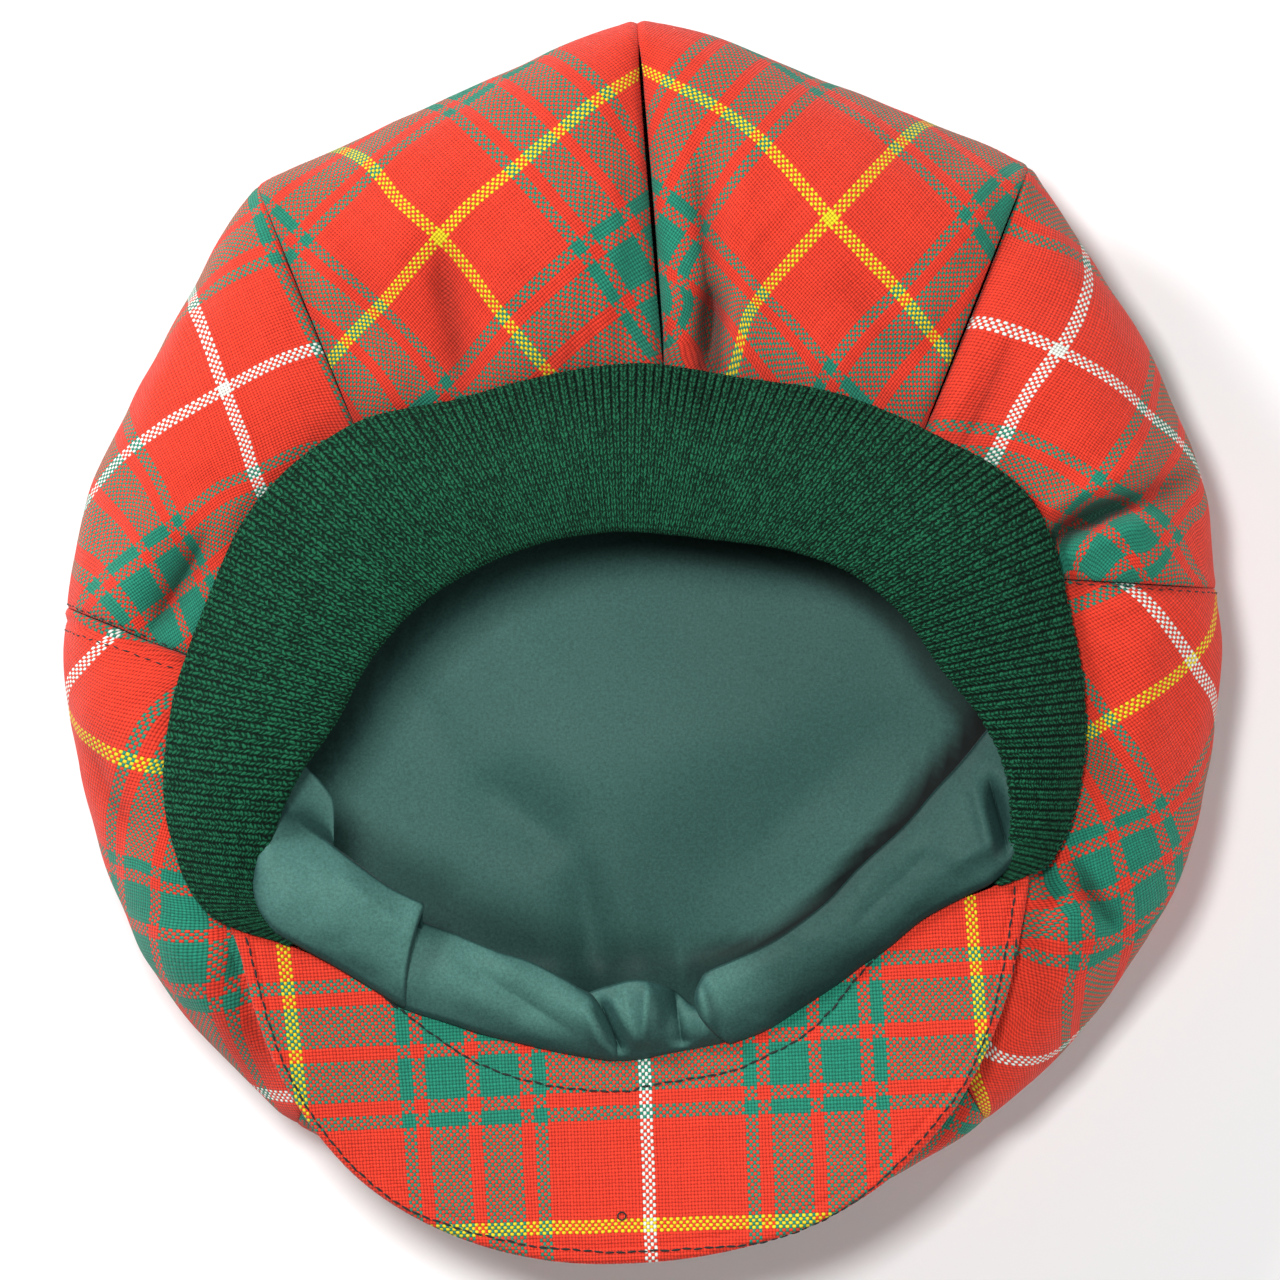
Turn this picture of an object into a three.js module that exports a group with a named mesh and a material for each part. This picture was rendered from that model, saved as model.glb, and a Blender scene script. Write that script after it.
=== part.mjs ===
// A tartan peaked cap in eight panels, lying upside down on its crown with the head opening up.
// Millimetres. +Z is up, +Y points from the peak to the back of the cap, and the floor is z = 0.
import * as THREE from "three";
import { mergeVertices } from "three/addons/utils/BufferGeometryUtils.js";

// Cloth and board thicknesses, and the gap kept between sewn pieces
const CLOTH = 2.0;
const SATIN = 1.0;
const SWEATBAND_CLOTH = 1.6;
const KNIT = 4.2;
const PEAK_BOARD = 3.4;
const SEAM_GAP = 0.5;

// The middle of the crown, where the panels meet, and the middle of the head opening
const CROWN_CENTRE = new THREE.Vector2(0, -6.2);
const OPENING_CENTRE = new THREE.Vector2(-0.6, -20.2);

// The crown's underneath: it lies flat on the floor out to FLAT_RADIUS, and the button lifts its middle
const TIP_RADIUS = 2.6;
const FLAT_RADIUS = 62;
const BUTTON_LIFT = 5.6;
const BUTTON_CLEAR_RADIUS = 11.5;
const BUTTON_DIP_RADIUS = 33;
const UNDERSIDE_ROUNDNESS = 2.2;

// The crown's upper side, from its widest edge in to the rim
const OVERHANG_CURVE = 1.8;
const SHOULDER_FULLNESS = 0.8;
const VALLEY_WIDTH = 7;

// How finely the solids are divided
const PANEL_COLUMNS = 9;
const UNDERSIDE_STOPS = [0, 0.07, 0.155, 0.24, 0.45, 0.66, 0.84];
const UPPER_ROWS = 8;
const LINING_COLUMNS = 32;
const LINING_ROWS = 10;
const BAND_WALES = 140;
const BAND_FULLNESS = [0.92, 1, 0.55];
const PEAK_COLUMNS = 26;
const PEAK_STOPS = [0, 0.25, 0.5, 0.75, 0.92, 0.975, 1];
const PEAK_FULLNESS = [1, 1, 1, 1, 1, 0.9, 0.4];
const SWEATBAND_COLUMNS = 40;
const SWEATBAND_ROWS = 4;

// The rim, where crown, band, lining and peak are sewn together. Bearings are in degrees, anticlockwise
// from +X round the opening's middle.
const RIM = [
  { bearing: 0, reach: 102.3, height: 58.5 },
  { bearing: 15, reach: 102.1, height: 58.0 },
  { bearing: 30, reach: 103.6, height: 57.0 },
  { bearing: 45, reach: 94.6, height: 56.0 },
  { bearing: 60, reach: 87.4, height: 55.0 },
  { bearing: 75, reach: 82.0, height: 54.0 },
  { bearing: 90, reach: 82.2, height: 54.0 },
  { bearing: 105, reach: 82.2, height: 54.5 },
  { bearing: 120, reach: 85.5, height: 55.0 },
  { bearing: 135, reach: 95.8, height: 56.0 },
  { bearing: 150, reach: 101.6, height: 57.0 },
  { bearing: 165, reach: 103.5, height: 58.0 },
  { bearing: 180, reach: 108.4, height: 58.5 },
  { bearing: 192, reach: 110.7, height: 59.5 },
  { bearing: 203, reach: 108.0, height: 60.0 },
  { bearing: 211, reach: 98.5, height: 58.5 },
  { bearing: 224, reach: 89.0, height: 54.5 },
  { bearing: 240, reach: 85.2, height: 49.5 },
  { bearing: 255, reach: 80.1, height: 47.0 },
  { bearing: 270, reach: 78.7, height: 46.0 },
  { bearing: 285, reach: 77.6, height: 46.8 },
  { bearing: 300, reach: 75.4, height: 49.0 },
  { bearing: 315, reach: 76.6, height: 53.0 },
  { bearing: 328, reach: 81.5, height: 56.8 },
  { bearing: 335, reach: 91.0, height: 59.0 },
  { bearing: 341, reach: 98.6, height: 59.8 },
  { bearing: 350, reach: 101.6, height: 59.0 },
];

// The crown's seams, anticlockwise from the back. corner is the crown's reach where a seam turns under,
// and valley is how deep the seam pulls its cloth in on the upper side.
const SEAMS = [
  { edge: 90.5, rim: 85.9, corner: 154.0, edgeHeight: 27, valley: 4.2 },
  { edge: 128.8, rim: 134.3, corner: 146.5, edgeHeight: 27, valley: 2.4 },
  { edge: 174.3, rim: 171.7, corner: 137.9, edgeHeight: 26, valley: 1.2 },
  { edge: 233.0, rim: 222.0, corner: 136.7, edgeHeight: 29, valley: 1.0 },
  { edge: 270.0, rim: 270.0, corner: 135.0, edgeHeight: 31, valley: 0.6 },
  { edge: 307.0, rim: 318.0, corner: 135.5, edgeHeight: 29, valley: 1.0 },
  { edge: 367.6, rim: 379.6, corner: 137.9, edgeHeight: 26, valley: 1.2 },
  { edge: 412.2, rim: 405.3, corner: 150.5, edgeHeight: 27, valley: 3.0 },
];

// The panel after each seam: the crown's reach a quarter, half and three quarters of the way across it,
// and how far its upper side swells above its seams
const PANELS = [
  { name: "back_left", quarter: 146.7, half: 143.1, threeQuarters: 143.1, puff: 7.0 },
  { name: "left_rear", quarter: 140.0, half: 137.0, threeQuarters: 137.3, puff: 4.0 },
  { name: "left_fore", quarter: 136.5, half: 136.2, threeQuarters: 136.7, puff: 2.0 },
  { name: "front_left", quarter: 136.0, half: 135.5, threeQuarters: 135.2, puff: 1.0 },
  { name: "front_right", quarter: 135.2, half: 135.3, threeQuarters: 135.4, puff: 1.0 },
  { name: "right_fore", quarter: 136.2, half: 136.7, threeQuarters: 137.1, puff: 2.0 },
  { name: "right_rear", quarter: 140.1, half: 141.5, threeQuarters: 143.9, puff: 4.5 },
  { name: "back_right", quarter: 146.2, half: 146.0, threeQuarters: 148.8, puff: 7.0 },
];

// Gathers that run out from the rim. rimShare and edgeShare place a fold across its panel at either
// end, and stop is how far out it runs, as a share of the overhang measured from the edge.
const FOLDS = [
  { panel: "back_left", rimShare: 0.75, edgeShare: 0.32, stop: 0.25, depth: 2.6, width: 9 },
  { panel: "back_left", rimShare: 0.3, edgeShare: 0.26, stop: 0.45, depth: 1.6, width: 6 },
  { panel: "left_rear", rimShare: 0.81, edgeShare: 0.7, stop: 0.1, depth: 5.0, width: 6 },
  { panel: "left_rear", rimShare: 0.4, edgeShare: 0.45, stop: 0.4, depth: 1.5, width: 7 },
  { panel: "left_fore", rimShare: 0.1, edgeShare: 0.25, stop: 0.05, depth: 2.2, width: 7 },
  { panel: "right_fore", rimShare: 0.38, edgeShare: 0.36, stop: 0.1, depth: 5.0, width: 5.5 },
  { panel: "right_rear", rimShare: 0.14, edgeShare: 0.3, stop: 0.05, depth: 7.0, width: 6 },
  { panel: "right_rear", rimShare: 0.84, edgeShare: 0.86, stop: 0.35, depth: 2.2, width: 7 },
  { panel: "back_right", rimShare: 0.78, edgeShare: 0.86, stop: 0.3, depth: 4.2, width: 7 },
  { panel: "back_right", rimShare: 0.36, edgeShare: 0.25, stop: 0.3, depth: 2.2, width: 8 },
];

// The knitted band's free edge. The band sits on the rim, leans in and tapers into the peak's ends.
const BAND_START = -19.6;
const BAND_END = 203.2;
const BAND_TUCK_SWEEP = 6;
const BAND_EDGE = [
  { bearing: -22.5, reach: 93.5, height: 62.5 },
  { bearing: -14, reach: 90.5, height: 68.0 },
  { bearing: -6, reach: 85.8, height: 72.5 },
  { bearing: 0, reach: 80.9, height: 75.0 },
  { bearing: 10, reach: 72.4, height: 77.0 },
  { bearing: 20, reach: 68.0, height: 78.0 },
  { bearing: 35, reach: 61.2, height: 78.0 },
  { bearing: 50, reach: 53.5, height: 78.0 },
  { bearing: 65, reach: 47.6, height: 78.0 },
  { bearing: 80, reach: 45.4, height: 78.0 },
  { bearing: 95, reach: 45.7, height: 78.0 },
  { bearing: 110, reach: 47.2, height: 78.0 },
  { bearing: 125, reach: 50.0, height: 78.0 },
  { bearing: 140, reach: 54.5, height: 78.0 },
  { bearing: 155, reach: 60.3, height: 78.0 },
  { bearing: 170, reach: 66.8, height: 77.5 },
  { bearing: 180, reach: 72.1, height: 76.0 },
  { bearing: 190, reach: 82.8, height: 72.5 },
  { bearing: 199, reach: 94.6, height: 67.0 },
  { bearing: 208, reach: 99.0, height: 62.5 },
];
const BAND_OVERLAP = 1.4;
const BAND_SEAT = 2.4;
const BAND_ARCH = 2.4;
const RIB_DEPTH = 0.5;

// The peak's outer edge round the opening, and how far its underside climbs from the rim to it
const PEAK_START = 204.5;
const PEAK_END = 338.6;
const PEAK_EDGE = [
  { bearing: 204.5, reach: 107.8, climb: 0 },
  { bearing: 210, reach: 109.2, climb: 0.6 },
  { bearing: 217.5, reach: 114.2, climb: 2.0 },
  { bearing: 225, reach: 119.4, climb: 3.6 },
  { bearing: 232, reach: 123.6, climb: 5.0 },
  { bearing: 240, reach: 127.2, climb: 6.2 },
  { bearing: 250, reach: 128.9, climb: 7.2 },
  { bearing: 260, reach: 128.9, climb: 7.8 },
  { bearing: 270, reach: 127.6, climb: 8.0 },
  { bearing: 280, reach: 126.5, climb: 7.8 },
  { bearing: 290, reach: 125.3, climb: 7.2 },
  { bearing: 300, reach: 122.3, climb: 6.2 },
  { bearing: 309, reach: 117.8, climb: 5.0 },
  { bearing: 316, reach: 113.2, climb: 3.6 },
  { bearing: 323, reach: 108.4, climb: 2.2 },
  { bearing: 331, reach: 102.9, climb: 0.8 },
  { bearing: 338.6, reach: 98.9, climb: 0 },
];
const PEAK_TUCK = 3;
const PEAK_TUCK_SWEEP = 8;

// The satin sweatband along the front: where it is sewn down, its crest and its free edge
const SWEATBAND = [
  { bearing: 189, sewn: 99.0, sewnHeight: 53.5, crest: 92.0, crestHeight: 57.0, free: 79.0, freeHeight: 52.0 },
  { bearing: 196, sewn: 101.0, sewnHeight: 56.0, crest: 92.0, crestHeight: 59.5, free: 73.0, freeHeight: 52.0 },
  { bearing: 204, sewn: 99.5, sewnHeight: 58.5, crest: 90.0, crestHeight: 62.5, free: 75.0, freeHeight: 53.0 },
  { bearing: 212, sewn: 96.0, sewnHeight: 61.5, crest: 84.0, crestHeight: 65.5, free: 70.0, freeHeight: 56.5 },
  { bearing: 220, sewn: 90.6, sewnHeight: 60.2, crest: 79.0, crestHeight: 64.5, free: 66.0, freeHeight: 57.5 },
  { bearing: 224, sewn: 88.0, sewnHeight: 58.8, crest: 79.0, crestHeight: 61.0, free: 67.0, freeHeight: 54.0 },
  { bearing: 235, sewn: 86.0, sewnHeight: 55.4, crest: 76.0, crestHeight: 59.0, free: 62.5, freeHeight: 51.5 },
  { bearing: 250, sewn: 80.8, sewnHeight: 52.2, crest: 73.0, crestHeight: 56.5, free: 62.0, freeHeight: 50.0 },
  { bearing: 258, sewn: 78.8, sewnHeight: 51.2, crest: 71.0, crestHeight: 54.5, free: 64.0, freeHeight: 49.0 },
  { bearing: 268, sewn: 78.2, sewnHeight: 50.6, crest: 69.0, crestHeight: 57.0, free: 60.0, freeHeight: 51.0 },
  { bearing: 281, sewn: 77.4, sewnHeight: 51.0, crest: 72.0, crestHeight: 53.6, free: 67.0, freeHeight: 49.0 },
  { bearing: 288, sewn: 76.6, sewnHeight: 51.8, crest: 68.5, crestHeight: 57.5, free: 60.0, freeHeight: 51.0 },
  { bearing: 302, sewn: 74.8, sewnHeight: 54.0, crest: 67.0, crestHeight: 59.5, free: 59.3, freeHeight: 52.0 },
  { bearing: 318, sewn: 77.4, sewnHeight: 58.4, crest: 68.0, crestHeight: 62.5, free: 58.5, freeHeight: 54.0 },
  { bearing: 330, sewn: 83.4, sewnHeight: 61.6, crest: 73.5, crestHeight: 65.0, free: 61.5, freeHeight: 55.0 },
  { bearing: 340, sewn: 89.5, sewnHeight: 60.5, crest: 80.0, crestHeight: 62.5, free: 65.5, freeHeight: 54.0 },
  { bearing: 348, sewn: 91.0, sewnHeight: 57.0, crest: 84.5, crestHeight: 59.5, free: 71.0, freeHeight: 52.5 },
  { bearing: 356, sewn: 92.0, sewnHeight: 54.0, crest: 87.0, crestHeight: 56.5, free: 79.0, freeHeight: 52.0 },
];

// The lining from the rim down: out is a share of how far it spreads under the overhang, and drop a
// share of the way down to its floor
const LINING_SPREAD_SHARE = 0.5;
const LINING_SPREAD_LIMIT = 27;
const LINING_FLOOR = 9.6;
const LINING_RIM_DROP = 3.1;
const LINING_WALL = [
  { out: 0.0, drop: 0.0 },
  { out: 0.34, drop: 0.16 },
  { out: 0.76, drop: 0.34 },
  { out: 1.0, drop: 0.56 },
  { out: 0.8, drop: 0.78 },
  { out: 0.3, drop: 0.96 },
];

const tartan = new THREE.MeshStandardMaterial({ color: 0xd8402c, roughness: 0.88, metalness: 0 });
const ribKnit = new THREE.MeshStandardMaterial({ color: 0x14492f, roughness: 0.95, metalness: 0 });
const satin = new THREE.MeshStandardMaterial({ color: 0x3a6a60, roughness: 0.45, metalness: 0 });

const smooth = (x) => THREE.MathUtils.smoothstep(x, 0, 1);
const lerp = THREE.MathUtils.lerp;

// A smooth curve through unevenly spaced rows: the value of a column at a bearing
function curveThrough(rows, column, bearing, closed) {
  const count = rows.length;
  const turn = closed ? 360 : 0;
  const row = (i) => {
    const lap = Math.floor(i / count);
    const inside = closed ? i - lap * count : THREE.MathUtils.clamp(i, 0, count - 1);
    return { at: rows[inside].bearing + (closed ? lap * turn : 0), value: rows[inside][column] };
  };
  let at = bearing;
  if (closed) {
    at = rows[0].bearing + THREE.MathUtils.euclideanModulo(bearing - rows[0].bearing, turn);
  }
  let i = 0;
  while (i < count - (closed ? 1 : 2) && row(i + 1).at <= at) i += 1;
  const [before, from, to, after] = [row(i - 1), row(i), row(i + 1), row(i + 2)];
  const span = to.at - from.at;
  const share = THREE.MathUtils.clamp((at - from.at) / span, 0, 1);
  const slope = (a, b) => (b.at > a.at ? (b.value - a.value) / (b.at - a.at) : 0);
  const leave = slope(before, to) * span;
  const arrive = slope(from, after) * span;
  const cube = share ** 3;
  const square = share ** 2;
  return (
    (2 * cube - 3 * square + 1) * from.value +
    (cube - 2 * square + share) * leave +
    (3 * square - 2 * cube) * to.value +
    (cube - square) * arrive
  );
}

function fromCentre(centre, bearing, reach, height) {
  const turn = THREE.MathUtils.degToRad(bearing);
  return new THREE.Vector3(
    centre.x + reach * Math.cos(turn),
    centre.y + reach * Math.sin(turn),
    height,
  );
}

function rimPoint(bearing, inward = 0, raise = 0) {
  const reach = curveThrough(RIM, "reach", bearing, true) - inward;
  const height = curveThrough(RIM, "height", bearing, true) + raise;
  return fromCentre(OPENING_CENTRE, bearing, reach, height);
}

// The height of the peak's upper face, which is its underside when worn, at a share of its depth
function peakFace(bearing, share) {
  const rim = curveThrough(RIM, "height", bearing, true);
  return rim + SEAM_GAP + PEAK_BOARD + curveThrough(PEAK_EDGE, "climb", bearing, false) * share;
}

// The height that cloth under the peak stays below, or Infinity where the peak doesn't cover it
function roomUnderPeak(point) {
  const x = point.x - OPENING_CENTRE.x;
  const y = point.y - OPENING_CENTRE.y;
  const bearing = THREE.MathUtils.euclideanModulo(THREE.MathUtils.radToDeg(Math.atan2(y, x)), 360);
  const margin = 4;
  if (bearing < PEAK_START - margin || bearing > PEAK_END + margin) return Infinity;
  const inner = curveThrough(RIM, "reach", bearing, true);
  const outer = curveThrough(PEAK_EDGE, "reach", bearing, false);
  const reach = Math.hypot(x, y);
  if (reach > outer + margin) return Infinity;
  const share = THREE.MathUtils.clamp((reach - inner) / Math.max(outer - inner, 1), 0, 1);
  return peakFace(bearing, share) - PEAK_BOARD - SEAM_GAP;
}

// Where a position round the crown lies: the whole part is the panel, and the rest the share across it
function crownEdge(position) {
  const wrapped = THREE.MathUtils.euclideanModulo(position, SEAMS.length);
  const index = Math.floor(wrapped);
  const share = wrapped - index;
  const from = SEAMS[index];
  const last = index === SEAMS.length - 1;
  const to = last ? { ...SEAMS[0], edge: SEAMS[0].edge + 360, rim: SEAMS[0].rim + 360 } : SEAMS[index + 1];
  const panel = PANELS[index];
  const reaches = [from.corner, panel.quarter, panel.half, panel.threeQuarters, to.corner];
  const rows = reaches.map((reach, i) => ({ bearing: i / (reaches.length - 1), reach }));
  const reach = curveThrough(rows, "reach", share, false);
  const height = lerp(from.edgeHeight, to.edgeHeight, smooth(share));
  return {
    panel,
    share,
    from,
    to,
    point: fromCentre(CROWN_CENTRE, lerp(from.edge, to.edge, share), reach, height),
    rimBearing: lerp(from.rim, to.rim, share),
  };
}

// A point of the crown's outer face on its underneath, out from the tip at 0 to the widest edge at 1
function undersidePoint(position, out) {
  const edge = crownEdge(position).point;
  const centre = new THREE.Vector3(CROWN_CENTRE.x, CROWN_CENTRE.y, 0);
  const arm = new THREE.Vector3(edge.x - centre.x, edge.y - centre.y, 0);
  const full = arm.length();
  const flatShare = 0.45;
  let radius = lerp(TIP_RADIUS, FLAT_RADIUS, out / flatShare);
  let height = 0;
  if (out > flatShare) {
    const turn = ((out - flatShare) / (1 - flatShare)) * (Math.PI / 2);
    const power = 2 / UNDERSIDE_ROUNDNESS;
    radius = FLAT_RADIUS + (full - FLAT_RADIUS) * Math.sin(turn) ** power;
    height = edge.z * (1 - Math.max(Math.cos(turn), 0) ** power);
  }
  const dip = (radius - BUTTON_CLEAR_RADIUS) / (BUTTON_DIP_RADIUS - BUTTON_CLEAR_RADIUS);
  height += BUTTON_LIFT * (1 - smooth(dip));
  return centre.addScaledVector(arm, radius / full).setZ(height);
}

// How far the gathers and seams pull the cloth down at a place on the upper side
function pullDown(edge, width, inward) {
  const fadeAtRim = smooth((1 - inward) / 0.12);
  const fadeAtEdge = smooth(inward / 0.2);
  let pull = 0;
  for (const fold of FOLDS) {
    if (fold.panel !== edge.panel.name) continue;
    const middle = lerp(fold.edgeShare, fold.rimShare, inward);
    const across = ((edge.share - middle) * width) / fold.width;
    const reachOut = smooth((inward - fold.stop) / 0.35);
    pull += fold.depth * Math.exp(-across * across) * reachOut;
  }
  const toFrom = (edge.share * width) / VALLEY_WIDTH;
  const toNext = ((1 - edge.share) * width) / VALLEY_WIDTH;
  pull += fadeAtEdge * edge.from.valley * Math.exp(-toFrom * toFrom);
  pull += fadeAtEdge * edge.to.valley * Math.exp(-toNext * toNext);
  return pull * fadeAtRim;
}

// A point of the crown's outer face on its upper side, from the widest edge at 0 in to the rim at 1
function upperPoint(position, along) {
  const edge = crownEdge(position);
  const rim = rimPoint(edge.rimBearing);
  const inward = along ** OVERHANG_CURVE;
  const climb = Math.sin((along * Math.PI) / 2) ** SHOULDER_FULLNESS;
  const point = edge.point.clone().lerp(rim, inward);
  point.z = lerp(edge.point.z, rim.z, climb);
  const swell = 0.45 + 0.55 * 4 * edge.share * (1 - edge.share);
  point.z += edge.panel.puff * Math.sin(Math.PI * inward ** 0.8) * swell;
  const arc = THREE.MathUtils.degToRad(edge.to.edge - edge.from.edge);
  const spread = arc * Math.hypot(point.x - CROWN_CENTRE.x, point.y - CROWN_CENTRE.y);
  point.z -= pullDown(edge, spread, inward);
  point.z = Math.min(point.z, Math.max(roomUnderPeak(point), edge.point.z));
  return point;
}

// A point of the crown's outer face, from the tip at 0 by the widest edge at 1 to the rim at 2
function crownPoint(position, way) {
  return way <= 1 ? undersidePoint(position, way) : upperPoint(position, way - 1);
}

// The same place on the inner face, one thickness in along the surface's normal
function crownInnerPoint(position, way) {
  const round = 0.05;
  const along = 0.04;
  const before = crownPoint(position, Math.max(way - along, 0));
  const after = crownPoint(position, Math.min(way + along, 2));
  const left = crownPoint(position - round, way);
  const right = crownPoint(position + round, way);
  const normal = after.sub(before).cross(right.sub(left)).normalize();
  return crownPoint(position, way).addScaledVector(normal, CLOTH);
}

// A closed solid between two grids of points. A wrapped grid joins its last column to its first.
function shell(upper, lower, wrapped = false) {
  const columns = upper.length;
  const rows = upper[0].length;
  const positions = [];
  const place = (point) => positions.push(point.x, point.y, point.z);
  const quad = (a, b, c, d) => [a, b, c, a, c, d].forEach(place);
  const span = wrapped ? columns : columns - 1;
  for (let i = 0; i < span; i += 1) {
    const next = (i + 1) % columns;
    for (let j = 0; j < rows - 1; j += 1) {
      quad(upper[i][j], upper[next][j], upper[next][j + 1], upper[i][j + 1]);
      quad(lower[i][j], lower[i][j + 1], lower[next][j + 1], lower[next][j]);
    }
    quad(upper[i][0], lower[i][0], lower[next][0], upper[next][0]);
    quad(upper[i][rows - 1], upper[next][rows - 1], lower[next][rows - 1], lower[i][rows - 1]);
  }
  for (let j = 0; j < rows - 1 && !wrapped; j += 1) {
    const end = columns - 1;
    quad(upper[0][j], upper[0][j + 1], lower[0][j + 1], lower[0][j]);
    quad(upper[end][j], lower[end][j], lower[end][j + 1], upper[end][j + 1]);
  }
  return facingOut(positions);
}

// Merges the corners, drops flat triangles and turns the faces outwards
function facingOut(positions) {
  const soup = new THREE.BufferGeometry();
  soup.setAttribute("position", new THREE.Float32BufferAttribute(positions, 3));
  const merged = mergeVertices(soup, 1e-4);
  const corner = (i) => new THREE.Vector3().fromBufferAttribute(merged.attributes.position, i);
  const source = merged.index.array;
  const index = [];
  let volume = 0;
  for (let i = 0; i < source.length; i += 3) {
    const [a, b, c] = [source[i], source[i + 1], source[i + 2]];
    if (a === b || b === c || a === c) continue;
    index.push(a, b, c);
    volume += corner(a).dot(corner(b).cross(corner(c)));
  }
  merged.setIndex(volume < 0 ? index.reverse() : index);
  merged.computeVertexNormals();
  return merged;
}

function grid(columns, rows, pointAt) {
  const across = (i) => Array.from({ length: rows + 1 }, (_, j) => pointAt(i / columns, j / rows));
  return Array.from({ length: columns + 1 }, (_, i) => across(i));
}

// One of the crown's eight panels, kept half a seam gap clear of each neighbour
function crownPanel(index) {
  const edge = crownEdge(index + 0.5).point;
  const reach = Math.hypot(edge.x - CROWN_CENTRE.x, edge.y - CROWN_CENTRE.y);
  const arc = THREE.MathUtils.degToRad((SEAMS[index + 1]?.edge ?? SEAMS[0].edge + 360) - SEAMS[index].edge);
  const upperStops = Array.from({ length: UPPER_ROWS + 1 }, (_, j) => 1 + j / UPPER_ROWS);
  const stops = [...UNDERSIDE_STOPS, ...upperStops];
  const positionOf = (column, way) => {
    const radius = way < 1 ? Math.max(lerp(TIP_RADIUS, reach, way), TIP_RADIUS) : reach * 0.62;
    const inset = SEAM_GAP / 2 / (radius * arc);
    return index + lerp(inset, 1 - inset, column);
  };
  const face = (pointAt) =>
    grid(PANEL_COLUMNS, stops.length - 1, (column, row) => {
      const way = stops[Math.round(row * (stops.length - 1))];
      return pointAt(positionOf(column, way), way);
    });
  return shell(face(crownPoint), face(crownInnerPoint));
}

// The cloth-covered button over the panels' tips, under the crown as it lies
function crownButton() {
  const profile = [
    [0, 0],
    [4.5, 0],
    [7.6, 0.9],
    [9.4, 2.3],
    [10, 3.7],
    [9.4, 4.9],
    [0, 4.9],
  ];
  const points = profile.map(([radius, height]) => new THREE.Vector2(radius, height));
  const lathed = new THREE.LatheGeometry(points, 18).rotateX(Math.PI / 2).toNonIndexed();
  return facingOut(Array.from(lathed.getAttribute("position").array));
}

// The lining: a loose satin bag inside the crown, open at the rim
function lining() {
  const middle = new THREE.Vector3(
    (CROWN_CENTRE.x + OPENING_CENTRE.x) / 2,
    (CROWN_CENTRE.y + OPENING_CENTRE.y) / 2,
    LINING_FLOOR,
  );
  const meridian = (position) => {
    const edge = crownEdge(position);
    const rim = rimPoint(edge.rimBearing, 3.4, -LINING_RIM_DROP);
    const outward = new THREE.Vector3().subVectors(edge.point, rim).setZ(0);
    const spread = Math.min(outward.length() * LINING_SPREAD_SHARE, LINING_SPREAD_LIMIT);
    outward.normalize();
    const depth = rim.z - LINING_FLOOR;
    const wall = LINING_WALL.map(({ out, drop }) =>
      rim.clone().addScaledVector(outward, out * spread).setZ(rim.z - drop * depth),
    );
    const heel = wall[wall.length - 1];
    const floor = [0.35, 0.7, 1].map((share) => heel.clone().lerp(middle, share).setZ(LINING_FLOOR));
    return new THREE.CatmullRomCurve3([...wall, ...floor], false, "centripetal");
  };
  const positions = Array.from({ length: LINING_COLUMNS }, (_, i) => (i / LINING_COLUMNS) * SEAMS.length);
  const curves = positions.map(meridian);
  const inside = (share, curve, column) => {
    const step = 0.02;
    const down = curve.getPoint(Math.min(share + step, 1)).sub(curve.getPoint(Math.max(share - step, 0)));
    const beside = curves[(column + 1) % curves.length].getPoint(share);
    const round = beside.sub(curves[(column + curves.length - 1) % curves.length].getPoint(share));
    const normal = round.lengthSq() < 1e-6 ? new THREE.Vector3(0, 0, 1) : down.cross(round).normalize();
    return curve.getPoint(share).addScaledVector(normal, share === 1 ? 0 : SATIN);
  };
  const rows = Array.from({ length: LINING_ROWS + 1 }, (_, j) => j / LINING_ROWS);
  const outer = curves.map((curve) => rows.map((share) => curve.getPoint(share)));
  const inner = curves.map((curve, column) => rows.map((share) => inside(share, curve, column)));
  inner.forEach((column) => column[LINING_ROWS].copy(middle).setZ(LINING_FLOOR + SATIN));
  return shell(outer, inner, true);
}

// The ribbed band round the back and sides, knitted double and folded at its free edge
function ribBand() {
  const stations = BAND_WALES * 2;
  const rows = BAND_FULLNESS.length - 1;
  const pointAt = (share, rise, side) => {
    const bearing = lerp(BAND_START, BAND_END, share);
    const overhang = lerp(-1.6, 4.6, share);
    const edgeBearing = bearing + overhang;
    const clearOfPeak = smooth(Math.min(bearing - BAND_START, BAND_END - bearing) / BAND_TUCK_SWEEP);
    const sewn = rimPoint(bearing, lerp(SEAM_GAP + KNIT / 2, -BAND_OVERLAP, clearOfPeak), BAND_SEAT);
    const free = fromCentre(
      OPENING_CENTRE,
      edgeBearing,
      curveThrough(BAND_EDGE, "reach", edgeBearing, false) + KNIT / 2,
      curveThrough(BAND_EDGE, "height", edgeBearing, false) - KNIT / 2,
    );
    const lean = new THREE.Vector3().subVectors(free, sewn);
    const outward = new THREE.Vector3(sewn.x - OPENING_CENTRE.x, sewn.y - OPENING_CENTRE.y, 0).normalize();
    const round = new THREE.Vector3(-outward.y, outward.x, 0);
    const normal = round.cross(lean.clone().normalize()).normalize();
    const station = Math.round(share * stations);
    const rib = station % 2 === 0 ? RIB_DEPTH : 0;
    const half = (KNIT / 2) * BAND_FULLNESS[Math.round(rise * rows)];
    const arch = BAND_ARCH * 4 * rise * (1 - rise) * smooth(lean.length() / 20);
    return sewn
      .clone()
      .addScaledVector(lean, rise)
      .addScaledVector(normal, arch + side * (half - (side > 0 ? rib : 0)));
  };
  const face = (side) => grid(stations, rows, (share, rise) => pointAt(share, rise, side));
  return shell(face(1), face(-1));
}

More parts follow.
